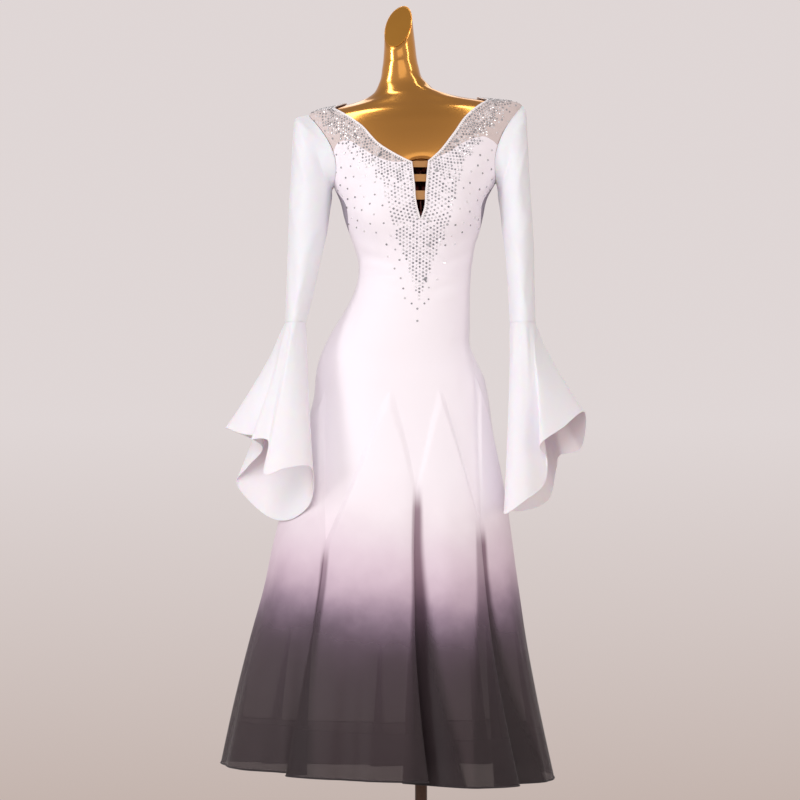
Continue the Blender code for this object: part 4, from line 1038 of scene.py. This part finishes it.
sleeveCut = {
    # Outer x, outer z, inner x, inner z, middle y, half depth, from the armhole down
    left: (
        (-203, 1435, -158, 1302, 0, 53), (-218, 1430, -159.5, 1297, 0, 54),
        (-228, 1421, -160.5, 1291, 0, 55), (-231, 1400, -161.5, 1281, -2, 56),
        (-233, 1356, -163, 1263, -6, 56), (-237, 1273, -167, 1228, -15, 56),
        (-239, 1200, -173, 1190, -30, 56), (-241, 1121, -191, 1109, -48, 56),
        (-243, 1049, -206, 1049, -62, 55),
    ),
    right: (
        (184, 1447, 135, 1303, 0, 53), (190, 1437, 137, 1298, 0, 54), (192, 1418, 138.5, 1292, 0, 55),
        (193, 1391, 140, 1281, -2, 56), (194, 1354, 142, 1263, -6, 56), (198, 1273, 145, 1228, -15, 56),
        (202, 1200, 149, 1190, -30, 56), (203, 1121, 155, 1109, -48, 56), (204, 1049, 158, 1049, -62, 55),
    ),
    "columns": 96, "rings": 110,
    "round": 290.0, "length": 385.0,        # mm that the crease tables run over
    # Creases: start round and down, end round and down, height, width. 0 round is the outer side,
    # 72 the front, 145 against the body, 217 the back.
    "creases": (
        (20, 150, 70, 215, 2.2, 12), (60, 205, 22, 262, -2.4, 11), (18, 238, 66, 290, 2.2, 12),
        (74, 60, 104, 130, -1.8, 10), (48, 52, 22, 96, 1.6, 10), (96, 168, 60, 222, -1.8, 9),
        (110, 250, 70, 318, 1.8, 11), (30, 300, 62, 362, -1.8, 10), (90, 320, 58, 372, 1.5, 8),
        (8, 72, 8, 160, -1.2, 12), (250, 140, 200, 205, 2.2, 12), (206, 196, 256, 262, -2.4, 12),
        (262, 236, 210, 300, 2.0, 12), (226, 70, 196, 140, -1.8, 10), (270, 318, 236, 368, 1.6, 9),
        (188, 240, 226, 310, -1.6, 10), (150, 120, 128, 220, 1.5, 10), (160, 260, 138, 350, -1.4, 10),
    ),
}


def tubeNormals(points, side):
    along = np.roll(points, -1, axis=1) - np.roll(points, 1, axis=1)
    return unit(np.cross(np.gradient(points, axis=0), along) * side)


def wrappedLift(rows, across, along, turnLength):
    return sum(creaseLift(rows, across + shift, along) for shift in (-turnLength, 0, turnLength))


def addSleeve(side):
    rows = sleeveCut[side]
    keys = np.linspace(0, len(rows) - 1, sleeveCut["rings"])
    ring = smoothRows([(i, *row) for i, row in enumerate(rows)], keys)[:, 1:]
    turn = np.linspace(0, 360, sleeveCut["columns"], endpoint=False)
    c, s = np.cos(np.radians(turn)), np.sin(np.radians(turn))
    outerX, outerZ, innerX, innerZ, middleY, depth = (column[:, None] for column in ring.T)
    points = np.stack([
        (outerX + innerX) / 2 + (outerX - innerX) / 2 * c,
        middleY - depth * s,
        (outerZ + innerZ) / 2 + (outerZ - innerZ) / 2 * c,
    ], axis=-1)
    hole = armhole(side, turn)
    fit = bodyPoint(hole[:, 0], hole[:, 1]) - points[0]
    points = points + fit * np.exp(-(keys / 1.3) ** 2)[:, None, None]
    points[0] = points[0] + (points[1] - points[0]) * 0.03 + np.array([side * 0.9, 0, 0])
    normals = tubeNormals(points, -side)
    roundWay = np.broadcast_to(turn / 360 * sleeveCut["round"], points.shape[:2])
    downWay = np.broadcast_to((keys / keys[-1] * sleeveCut["length"])[:, None], points.shape[:2])
    lift = wrappedLift(sleeveCut["creases"], roundWay, downWay, sleeveCut["round"])
    lift = lift * easy(downWay, 8, 60) * easy(-downWay, -sleeveCut["length"], -sleeveCut["length"] + 30)
    points = points + normals * lift[..., None]
    name = "Left" if side == left else "Right"
    piece = gridShell("sleeve" + name, points, tubeNormals(points, -side), cloth["crepeWall"],
                      finishes["crepe"], True, ("sleeve_" + name.lower(),))


flounceCut = {
    # Hem of each flounce, lobe by lobe round its loop: x, y, z
    left: (
        (-347, -75, 862), (-314, -112, 850), (-272, -122, 846), (-299, -152, 840),
        (-268, -166, 836), (-274, -200, 779), (-238, -207, 788), (-196, -188, 792),
        (-189, -148, 761), (-199, -122, 723), (-236, -82, 698), (-281, -24, 709),
        (-331, -8, 762), (-312, -34, 792), (-284, -62, 830),
    ),
    right: (
        (290, -85, 890), (247, -140, 860), (207, -166, 830), (221, -124, 806),
        (216, -128, 762), (182, -154, 733), (148, -146, 709), (150, -92, 720),
        (177, -36, 714), (228, -2, 734), (243, -14, 790), (248, -52, 814), (286, -42, 827),
    ),
    "steps": 9, "evenSteps": 3, "rows": 48,
    "foldGrowth": 1.7, "turn": -20.0, "seamDrop": 0.3,
    "round": 330.0, "length": 260.0, "hemRoll": 0.8,
    # Gathers and soft folds: start round and down, end round and down, height, width
    "creases": (
        (20, 0, 14, 60, 1.6, 6), (34, 0, 32, 44, -1.5, 5), (58, 0, 66, 90, 1.8, 7), (76, 0, 86, 52, -1.6, 6),
        (96, 0, 110, 120, 1.7, 8), (118, 0, 126, 48, -1.5, 5), (140, 0, 150, 80, 1.6, 7),
        (168, 0, 166, 54, -1.5, 6), (192, 0, 196, 100, 1.7, 8), (220, 0, 222, 50, -1.6, 6),
        (246, 0, 250, 88, 1.6, 7), (272, 0, 270, 46, -1.4, 5), (298, 0, 296, 96, 1.6, 7),
        (318, 0, 322, 50, -1.4, 5),
    ),
}


def closedCurve(rows, steps):
    rows = np.array(rows, dtype=float)
    t = (np.arange(steps) / steps)[:, None]
    made = []
    for i in range(len(rows)):
        before, start, end, after = (rows[(i + k) % len(rows)] for k in (-1, 0, 1, 2))
        made.append(0.5 * (
            2 * start + (end - before) * t + (2 * before - 5 * start + 4 * end - after) * t ** 2
            + (3 * start - before - 3 * end + after) * t ** 3
        ))
    return np.concatenate(made)


def addFlounce(side):
    steps = flounceCut["steps"]
    hemLine = closedCurve(flounceCut[side], steps)
    count = len(hemLine)
    outerX, seamZ, innerX, _, middleY, depth = sleeveCut[side][-1]
    turn = np.radians(flounceCut["turn"] + np.arange(count) * 360 / count)
    seam = np.column_stack([
        (outerX + innerX) / 2 + (outerX - innerX) / 2 * np.cos(turn),
        middleY - depth * np.sin(turn),
        np.full(count, seamZ - flounceCut["seamDrop"]),
    ])
    rolls = range(-steps, steps + 1, flounceCut["evenSteps"])
    smoothHem = np.mean([np.roll(hemLine, k, axis=0) for k in rolls], axis=0)
    part = np.linspace(0, 1, flounceCut["rows"])[:, None, None]
    points = seam + (smoothHem - seam) * part + (hemLine - smoothHem) * part ** flounceCut["foldGrowth"]
    normals = tubeNormals(points, -side)
    roundWay = np.broadcast_to(np.arange(count) / count * flounceCut["round"], points.shape[:2])
    downWay = np.broadcast_to(part[..., 0] * flounceCut["length"], points.shape[:2])
    lift = wrappedLift(flounceCut["creases"], roundWay, downWay, flounceCut["round"])
    points = points + normals * (lift * easy(downWay, 0, 16))[..., None]
    name = "Left" if side == left else "Right"
    normals = tubeNormals(points, -side)
    piece = gridShell("flounce" + name, points, normals, cloth["crepeWall"],
                      finishes["crepe"], True, ("flounce_" + name.lower(),))
    addCords("flounceHem" + name, [(points[-1], normals[-1], flounceCut["hemRoll"], True, 0.3)],
             finishes["crepe"], sides=8)


for side in (left, right):
    addSleeve(side)
    addFlounce(side)
print("sleeves and flounces made")


form = {
    "columns": 192, "levelStep": 5.0,
    # Level, inset from the cloth's outer surface; the second table is the lower end
    "inset": ((935, 6.5), (975, 4.8), (1446, 5.0), (1456, 3.2), (1466, 2.4), (1484, 2.4), (1495, 3.0)),
    "lowerInset": ((815, 66), (822, 48), (836, 34), (860, 24), (895, 14), (935, 6.5)),
    "top": 1589.0,
    # Hollow behind the slit: middle x, depth, half width, levels where it starts and ends; its share also
    # marks the painted shade there
    "hollow": (-1.0, 34.0, 17.0, 1200.0, 1345.0),
    "plate": ((0.3, 0.93), (1.6, 0.93), (2.1, 0.925), (2.5, 0.91), (2.6, 0.89)),   # lift, share of the cut
}


def hollowShare(place, level):
    x, _, width, lowLevel, highLevel = form["hollow"]
    share = easy(level, lowLevel, lowLevel + 40) * easy(-level, -highLevel, -highLevel + 26)
    return share * np.exp(-((place[..., 0] - x) / width) ** 2) * (place[..., 1] < 0)


def formRing(level):
    angles = np.linspace(-180, 180, form["columns"], endpoint=False)
    levels = np.full(form["columns"], float(level))
    place = bodyPoint(angles, levels)
    normals = surfaceNormals(bodyPoint, angles, levels)
    low = level <= form["lowerInset"][-1][0]
    inset = float(np.interp(level, *np.array(form["lowerInset" if low else "inset"]).T))
    if low or level > 1500:
        normals[:, 2] = 0
    if low:
        normals = unit(normals)
    hollow = form["hollow"][1] * hollowShare(place, level)
    return place - normals * (inset + hollow[:, None])


def addRings(name, rings, finish, replaces, smoothAngle=50.0):
    rings = np.asarray(rings)
    rows, columns = rings.shape[:2]
    faces = [tuple(range(columns)), tuple(range((rows - 1) * columns, rows * columns))]
    faces += gridFaces(rows, columns, True)
    return addPiece(name, rings.reshape(-1, 3), faces, finish, None, replaces, smoothAngle)


def addForm():
    low = form["lowerInset"][0][0]
    count = round((form["top"] - low) / form["levelStep"])
    levels = np.linspace(low, form["top"], count)
    rings = np.array([formRing(level) for level in levels])
    torso = addRings("formTorso", rings, finishes["gold"], ("form_torso",))
    # Painted shade mark on the gold in the hollow behind the slit
    setMarks(torso, {"paintedShade": np.minimum(1.3 * hollowShare(rings, levels[:, None]), 1)})
    top = rings[-1]
    middle = top.mean(axis=0)
    slopeX, slopeY = body["neckCut"]
    normal = unit(np.array([-slopeX, -slopeY, 1.0]))
    plate = [middle + (top - middle) * share + normal * lift for lift, share in form["plate"]]
    addRings("formNeckPlate", plate, finishes["plate"], ("form_neck_plate",), 30.0)


stand = {
    "segments": 128,
    "collarTop": 814.7, "collarHeight": 34.0, "collarRadius": 24.0,
    "poleRadius": 11.0, "poleFoot": 46.0,
    "baseRadius": 165.0, "baseHeight": 12.0,
}


def turned(name, profile, replaces):
    turn = np.arange(stand["segments"]) * 2 * np.pi / stand["segments"]
    rings = [np.column_stack([r * np.cos(turn), r * np.sin(turn), np.full(len(turn), h)]) for r, h in profile]
    addRings(name, rings, finishes["steel"], (replaces,), 30.0)


def rounded(corner, radius, start, end, steps=5):
    turns = np.radians(np.linspace(start, end, steps))
    return [(corner[0] + radius * math.cos(t), corner[1] + radius * math.sin(t)) for t in turns]


def addStand():
    top, radius = stand["collarTop"], stand["collarRadius"]
    low = top - stand["collarHeight"]
    collar = rounded((radius - 4, low + 4), 4, -90, 0)
    collar += [(radius, top - 5), (radius + 3, top - 3), (radius + 6, top)]
    turned("poleCollar", collar, "pole_collar")
    foot = stand["poleFoot"]
    turned("pole", [(stand["poleRadius"], foot + 0.3), (stand["poleRadius"], low - 0.3)], "pole")
    wide, height = stand["baseRadius"], stand["baseHeight"]
    base = [(wide - 1.5, 0)] + rounded((wide - 3, height - 3), 3, 0, 90, 7)
    base += [(60, height + 2.4), (34, height + 5), (24, height + 10), (21, height + 16)]
    base += rounded((15, foot - 2), 2, 0, 90)
    turned("basePlate", base, "base_plate")


addForm()
addStand()
print("form and stand made")


seams = {"radius": 0.55, "sink": 0.2}


def bodyRun(path, closed=False, radius=None, surface=None):
    # One seam line laid on the body, as a run for addCords
    surface = surface or clothPoint
    path = np.asarray(path, dtype=float)
    place = surface(path[:, 0], path[:, 1])
    normals = surfaceNormals(surface, path[:, 0], path[:, 1])
    return place, normals, radius or seams["radius"], closed, seams["sink"]


def addSeams():
    white, valleys = [], []
    for side in (left, right):
        line = lines[side]
        white += [bodyRun(line["yokeSeam"]), bodyRun(line["backSeam"]), bodyRun(line["side"])]
        white += [bodyRun(line["insetFront"]), bodyRun(line["insetBack"])]
    waist = np.column_stack([np.linspace(-177, 182, 240), np.full(240, skirtCut["waist"])])
    white.append(bodyRun(waist, True, 0.45))
    parts = fineColumns()
    places = np.concatenate([i + parts[:-1] for i in range(len(skirtCut["godets"]))])
    paths = [np.column_stack([places * fineScale, godetTop(places)])]
    addCords("seamsArches", [bodyRun(paths[0], True, 0.5, hipPoint)], finishes["dyedKnit"],
             marks=hipMarks(*paths[0].T))
    paths = []
    for i, row in enumerate(skirtCut["godets"]):
        levels = np.linspace(row[1], float(hemLevel(row[0])) + 2, 90)
        paths.append(np.column_stack([np.full(90, float(i * fineScale)), levels]))
        valleys.append(bodyRun(paths[-1], False, 0.6, hipPoint))
    addCords("seamsWhite", white, finishes["knit"])
    addCords("seamsGodets", valleys, finishes["chiffon"],
             marks=hipMarks(*np.concatenate(paths).T))


stones = {
    "radius": 2.0, "height": 1.4, "sides": 8, "sink": 0.15,
    "edge": 6.8,                           # first row's way from the edge
    "neck": {"rows": 11, "rowStep": 4.7, "step": 5.0, "fadeFrom": 36.0, "fadeOver": 22.0},
    "slit": {"rows": 12, "rowStep": 6.0, "step": 6.6},
    # Level, half width of the dense place round the slit and below it
    "slitWidth": ((1092, 1), (1099, 4), (1108, 9), (1135, 17), (1167, 28), (1197, 43), (1229, 51),
                  (1270, 55), (1310, 63), (1345, 76)),
    # Single stones below it, as x and z on the front
    "tail": ((-6, 1090), (-7, 1073), (-7, 1051), (-29, 1092), (13, 1090)),
    "middleEnd": 1090, "middleSteps": 20, "middleLean": -0.02,    # line below the slit that rows follow
    "hipsLow": 950.0,                      # stones may lie on the front hip panel down to here
    # Level, half width that the sparse stones reach on the front
    "sparseWidth": ((1070, 4), (1100, 24), (1140, 40), (1175, 62), (1205, 84), (1236, 140), (1300, 200)),
    "sparseStep": 17.0, "sparseClear": 10.0, "backSparseLow": 1290.0,
    "sparseMiddle": -6, "backFrom": 10,    # x of the middle, y where the back's limit holds
    "throws": 9000, "throwLevels": (1062, 1470),
    "closest": 0.8, "edgeMargin": 0.9, "spread": (0.86, 1.1), "tilt": 0.07,
    "profile": ((0.9, 0.0), (1.0, 0.22), (0.52, 1.0)),    # share of the radius, share of the height
    "bindingStep": 3.4, "bindingRadius": 0.95, "bindingPlace": 0.8,
    # Larger stones, as x and z on the front
    "large": (
        (64, 1372), (27, 1318), (12, 1229), (13, 1186), (7, 1126), (-73, 1347), (-86, 1338), (-40, 1318),
    ),
    "largeRadius": 3.2,
}


def stoneMeshes(places, normals, radii):
    # Round cut stones: girdle, crown facets and table, each turned and tilted a little
    sides = stones["sides"]
    turn = np.arange(sides) * 2 * np.pi / sides
    verts, faces, stoneToneAndGlint = [], [], []
    for i, (place, normal, radius) in enumerate(zip(places, normals, radii)):
        normal = unit(normal + chance.normal(0, stones["tilt"], 3))
        first = unit(np.cross(normal, [0.31, 0.12, 0.94]))
        second = np.cross(normal, first)
        spin = turn + chance.uniform(0, 2 * np.pi)
        ring = first * np.cos(spin)[:, None] + second * np.sin(spin)[:, None]
        height = stones["height"] * radius / stones["radius"]
        shift = i * 3 * sides
        for share, lift in stones["profile"]:
            verts.append(place + ring * radius * share + normal * (lift * height - stones["sink"]))
        faces += [tuple(shift + k for k in range(sides)), tuple(shift + 2 * sides + k for k in range(sides))]
        for r in range(2):
            faces += [(shift + r * sides + k, shift + r * sides + (k + 1) % sides,
                       shift + (r + 1) * sides + (k + 1) % sides, shift + (r + 1) * sides + k)
                      for k in range(sides)]
        # a random tone for each stone, partly its own tone, with painted glint at the bright end
        stoneToneAndGlint.append(np.full(3 * sides, chance.uniform()))
    return np.concatenate(verts), faces, np.concatenate(stoneToneAndGlint)


def addStones(name, places, normals, radii):
    verts, faces, stoneToneAndGlint = stoneMeshes(places, normals, radii)
    setMarks(addPiece(name, verts, faces, finishes["stone"], None, (), 8.0), {"tint": stoneToneAndGlint})
    print(name, len(radii), "stones")


def marchRow(path, sideways, way):
    # Path moved over the body by a distance, given as angle and level
    moved = path.copy()
    steps = max(1, math.ceil(way / 3))
    for _ in range(steps):
        here = bodyPoint(moved[:, 0], moved[:, 1])
        first = bodyPoint(moved[:, 0] + 0.1, moved[:, 1]) - here
        second = bodyPoint(moved[:, 0], moved[:, 1] + 0.1) - here
        a, b, c = (np.sum(u * v, axis=1) for u, v in ((first, first), (first, second), (second, second)))
        p, q = np.sum(first * sideways, axis=1), np.sum(second * sideways, axis=1)
        scale = way / steps * 0.1 / np.maximum(a * c - b * b, 1e-12)
        moved = moved + np.column_stack([(c * p - b * q) * scale, (a * q - b * p) * scale])
    return moved


def stoneRows(spine, side, layout, reach, taken):
    # Rows alongside a spine, each shifted by half a step, kept apart from those already there
    for row in range(layout["rows"]):
        way = stones["edge"] + row * layout["rowStep"] + reach
        path = resample(spine, layout["step"])
        path = (path[1:] + path[:-1]) / 2 if row % 2 else path
        place = bodyPoint(path[:, 0], path[:, 1])
        normals = surfaceNormals(bodyPoint, path[:, 0], path[:, 1])
        sideways = unit(np.cross(normals, np.gradient(place, axis=0))) * side
        moved = marchRow(path, sideways, way) if way > 0.1 else path
        for value in moved:
            point = clothPoint(value[0], value[1])
            if layout is stones["slit"]:
                width = np.interp(point[2], *np.array(stones["slitWidth"]).T, left=0)
                if way > width or point[1] > 0:
                    continue
            elif chance.uniform() < (way - layout["fadeFrom"]) / layout["fadeOver"]:
                continue
            taken.append((value, point, layout["step"] * stones["closest"]))


def onWhich(values):
    # Whether each angle and level lies on the cloth, and whether on a yoke
    onCloth = np.zeros(len(values), dtype=bool)
    onYoke = np.zeros(len(values), dtype=bool)
    for loop, yoke in bodyOutlines:
        flat = np.array(loop) * flatScale
        for shift in (-360, 0, 360):
            across, up = (values[:, 0] + shift) * cloth["angleScale"], values[:, 1]
            inside = insideLoop(flat, across, up)
            if inside.any():
                inside[inside] &= loopDistance(flat, across[inside], up[inside]) > 0.8
            onCloth |= inside
            onYoke |= inside & yoke
    return onCloth, onYoke


def scatterStones():
    wanted = []
    bottom = bodiceCut["slit"][left][-1]
    down = np.linspace(bottom[1], stones["middleEnd"], stones["middleSteps"])
    middleLine = frontPlaces([(bottom[0] + (bottom[1] - z) * stones["middleLean"], z) for z in down], -90)
    for side in (left, right):
        line = lines[side]
        stoneRows(line["neckline"][::-1], side, stones["neck"], 0, wanted)
        stoneRows(line["slit"], side, stones["slit"], 0, wanted)
        stoneRows(middleLine, side, stones["slit"], -stones["edge"], wanted)
    tail = frontPlaces(stones["tail"], -90)
    wanted += [(value, clothPoint(*value), stones["slit"]["step"]) for value in tail]
    edge = [(angle, skirtCut["waist"] + 2) for angle in skirtAngle(np.linspace(0, 4, 33))]
    bodyOutlines.append((edge + [(angle, stones["hipsLow"]) for angle, _ in reversed(edge)], False))
    angle = chance.uniform(-180, 180, stones["throws"])
    level = chance.uniform(*stones["throwLevels"], stones["throws"])
    place = clothPoint(angle, level)
    width = np.interp(place[:, 2], *np.array(stones["sparseWidth"]).T, left=0)
    onFront = np.abs(place[:, 0] - stones["sparseMiddle"]) < width
    use = np.where(place[:, 1] < stones["backFrom"], onFront, place[:, 2] > stones["backSparseLow"])
    sparse = [(np.array([a, l]), p, 0) for a, l, p, keep in zip(angle, level, place, use) if keep]
    values = np.array([value for value, _, _ in wanted + sparse])
    onCloth, onYoke = onWhich(values)
    path = bindingPath()
    neck = bodyPoint(path[:, 0], path[:, 1])
    kept, keptSparse, chosen = np.zeros((0, 3)), np.zeros((0, 3)), []
    for i, (value, point, apart) in enumerate(wanted + sparse):
        toNeck = np.min(np.linalg.norm(neck - point, axis=1))
        if not onCloth[i] or toNeck < stones["edge"] - stones["edgeMargin"]:
            continue
        if apart == 0:
            apart = stones["sparseClear"]
            if len(keptSparse) and np.min(np.linalg.norm(keptSparse - point, axis=1)) < stones["sparseStep"]:
                continue
        if len(kept) and np.min(np.linalg.norm(kept - point, axis=1)) < apart:
            continue
        kept = np.concatenate([kept, point[None]])
        if i >= len(wanted):
            keptSparse = np.concatenate([keptSparse, point[None]])
        chosen.append(i)
    chosen = np.array(chosen)
    normals = surfaceNormals(bodyPoint, values[chosen, 0], values[chosen, 1])
    radii = stones["radius"] * chance.uniform(*stones["spread"], len(chosen))
    for name, slot, part in (("stonesYokes", "nude_net", onYoke[chosen]),
                             ("stonesBodice", "white_stretch_knit", ~onYoke[chosen])):
        addStones(name, kept[part], normals[part], radii[part])
    large = frontPlaces(stones["large"], -90)
    addStones("stonesLarge", clothPoint(large[:, 0], large[:, 1]),
              surfaceNormals(bodyPoint, large[:, 0], large[:, 1]),
              np.full(len(large), stones["largeRadius"]))


def addBindingStones():
    path = resample(bindingPath(), stones["bindingStep"])
    place = bodyPoint(path[:, 0], path[:, 1])
    normals = surfaceNormals(bodyPoint, path[:, 0], path[:, 1])
    across = unit(np.cross(normals, np.roll(place, -1, axis=0) - np.roll(place, 1, axis=0)))
    middle = bodiceCut["bindingStart"] + bodiceCut["bindingWidth"] * stones["bindingPlace"]
    lift = bodiceCut["bindingLift"] + bodiceCut["bindingHeight"]
    addStones("stonesBinding", place + across * middle + normals * lift, normals,
              np.full(len(path), stones["bindingRadius"]))


addSeams()
scatterStones()
addBindingStones()
print("seams and stones made")


view = {
    "camera": (-0.0378, -6.0, 0.70), "tilt": 2.04, "lens": 150.0, "sensor": 36.0,
    # Name, place, aims at, size across and up, watts, colour, whether it lights the form alone
    "lights": (
        ("keySoftbox", (-3.2, -2.5, 1.9), (0.0, 0.0, 0.95), (0.7, 2.5), 44.0, (1.0, 0.985, 1.0), False),
        ("frontSoftbox", (-1.0, -5.4, 2.8), (0.0, 0.0, 0.8), (2.4, 1.8), 84.0, (1.0, 0.985, 1.0), False),
        ("rightStrip", (3.2, -2.4, 1.7), (0.0, 0.0, 0.95), (0.22, 2.4), 17.0, (1.0, 0.91, 0.83), False),
        ("formLeft", (-3.2, -2.6, 2.3), (0.0, 0.0, 1.5), (1.1, 2.6), 66.0, (1.0, 0.98, 0.94), True),
        ("formRight", (3.1, -2.5, 2.3), (0.0, 0.0, 1.5), (0.35, 2.6), 22.0, (1.0, 0.98, 0.94), True),
        ("formHighLeft", (-1.5, -1.3, 4.0), (0.0, 0.0, 1.45), (0.5, 2.2), 30.0, (1.0, 0.98, 0.94), True),
        ("formHighRight", (1.2, -1.5, 4.0), (0.0, 0.0, 1.45), (0.22, 2.2), 12.0, (1.0, 0.98, 0.94), True),
        ("formFront", (0.3, -5.0, 2.4), (0.0, 0.0, 1.5), (2.6, 2.4), 13.0, (1.0, 0.97, 0.93), True),
        ("topSoftbox", (0.3, 2.2, 3.4), (0.0, 0.0, 1.0), (2.2, 1.6), 14.0, (1.0, 0.99, 0.98), False),
    ),
    "unseenInGloss": "frontSoftbox",       # a broad fill that makes no highlight of its own
    "ceiling": (0.25, 0.85, 0.62),         # rise from and to, share of light left there
    "horizon": (0.5, 3.6),                 # where the backdrop's ramp starts and how fast it runs
    "backdrop": ((0.2, (0.555, 0.462, 0.425)), (0.6, (0.74, 0.675, 0.67))),
    "floorRadius": 2.2, "floorDrop": 0.0005,
    "floorTones": ((0.70, 0.66, 0.65), (0.74, 0.70, 0.69)),
}


def lookAt(thing, place, aim):
    thing.location = place
    way = np.array(aim) - np.array(place)
    flatWay = math.hypot(way[0], way[1])
    thing.rotation_euler = (math.atan2(flatWay, -way[2]), 0.0, math.atan2(-way[0], way[1]))


def addStudio():
    camera = bpy.data.cameras.new("photoCamera")
    camera.lens, camera.sensor_width = view["lens"], view["sensor"]
    eye = bpy.data.objects.new("photoCamera", camera)
    eye.location = view["camera"]
    eye.rotation_euler = (math.radians(90 + view["tilt"]), 0.0, 0.0)
    bpy.context.scene.collection.objects.link(eye)
    bpy.context.scene.camera = eye
    bpy.context.scene.view_settings.view_transform = "Standard"
    formOnly = bpy.data.collections.new("formOnly")
    formOnly.objects.link(bpy.data.objects["formTorso"])
    for name, place, aim, (wide, tall), watts, colour, onForm in view["lights"]:
        lamp = bpy.data.lights.new(name, "AREA")
        lamp.shape, lamp.size, lamp.size_y = "RECTANGLE", wide, tall
        lamp.energy, lamp.color = watts, colour
        holder = bpy.data.objects.new(name, lamp)
        lookAt(holder, place, aim)
        holder.visible_glossy = name != view["unseenInGloss"]
        if onForm:
            holder.light_linking.receiver_collection = formOnly
        bpy.context.scene.collection.objects.link(holder)
    world = bpy.data.worlds.new("paleStudio")
    bpy.context.scene.world = world
    world.use_nodes = True
    tree = world.node_tree
    coords = tree.nodes.new("ShaderNodeTexCoord")
    parts = tree.nodes.new("ShaderNodeSeparateXYZ")
    tree.links.new(coords.outputs["Generated"], parts.inputs[0])
    start, rate = view["horizon"]
    height = mathNode(tree, "MULTIPLY_ADD", parts.outputs["Z"], rate)
    tree.nodes[-1].inputs[2].default_value = start
    ramp = tree.nodes.new("ShaderNodeValToRGB")
    for stop, (position, colour) in zip(ramp.color_ramp.elements, view["backdrop"]):
        stop.position, stop.color = position, (*colour, 1.0)
    tree.links.new(height, ramp.inputs["Fac"])
    tree.links.new(ramp.outputs["Color"], tree.nodes["Background"].inputs["Color"])
    ceiling = tree.nodes.new("ShaderNodeMapRange")
    low, high, remaining = view["ceiling"]
    for label, value in (("From Min", low), ("From Max", high), ("To Min", 1.0), ("To Max", remaining)):
        ceiling.inputs[label].default_value = value
    tree.links.new(parts.outputs["Z"], ceiling.inputs["Value"])
    tree.links.new(ceiling.outputs["Result"], tree.nodes["Background"].inputs["Strength"])


def addFloor():
    finish, tree, shader = newFinish("paleFloor", 0.75)
    mottle = placeGroup(tree, mottleGroup, Size_m=0.4)
    tone = toned(tree, mottle.outputs["Tone"], *view["floorTones"])
    tree.links.new(tone, shader.inputs["Base Color"])
    mesh = bpy.data.meshes.new("studioFloor")
    shape = bmesh.new()
    bmesh.ops.create_circle(shape, cap_ends=True, segments=96, radius=view["floorRadius"])
    shape.to_mesh(mesh)
    shape.free()
    mesh.materials.append(finish)
    floor = bpy.data.objects.new("studioFloor", mesh)
    bpy.context.scene.collection.objects.link(floor)
    floor.location.z = -view["floorDrop"]


addStudio()
addFloor()
print("studio made")
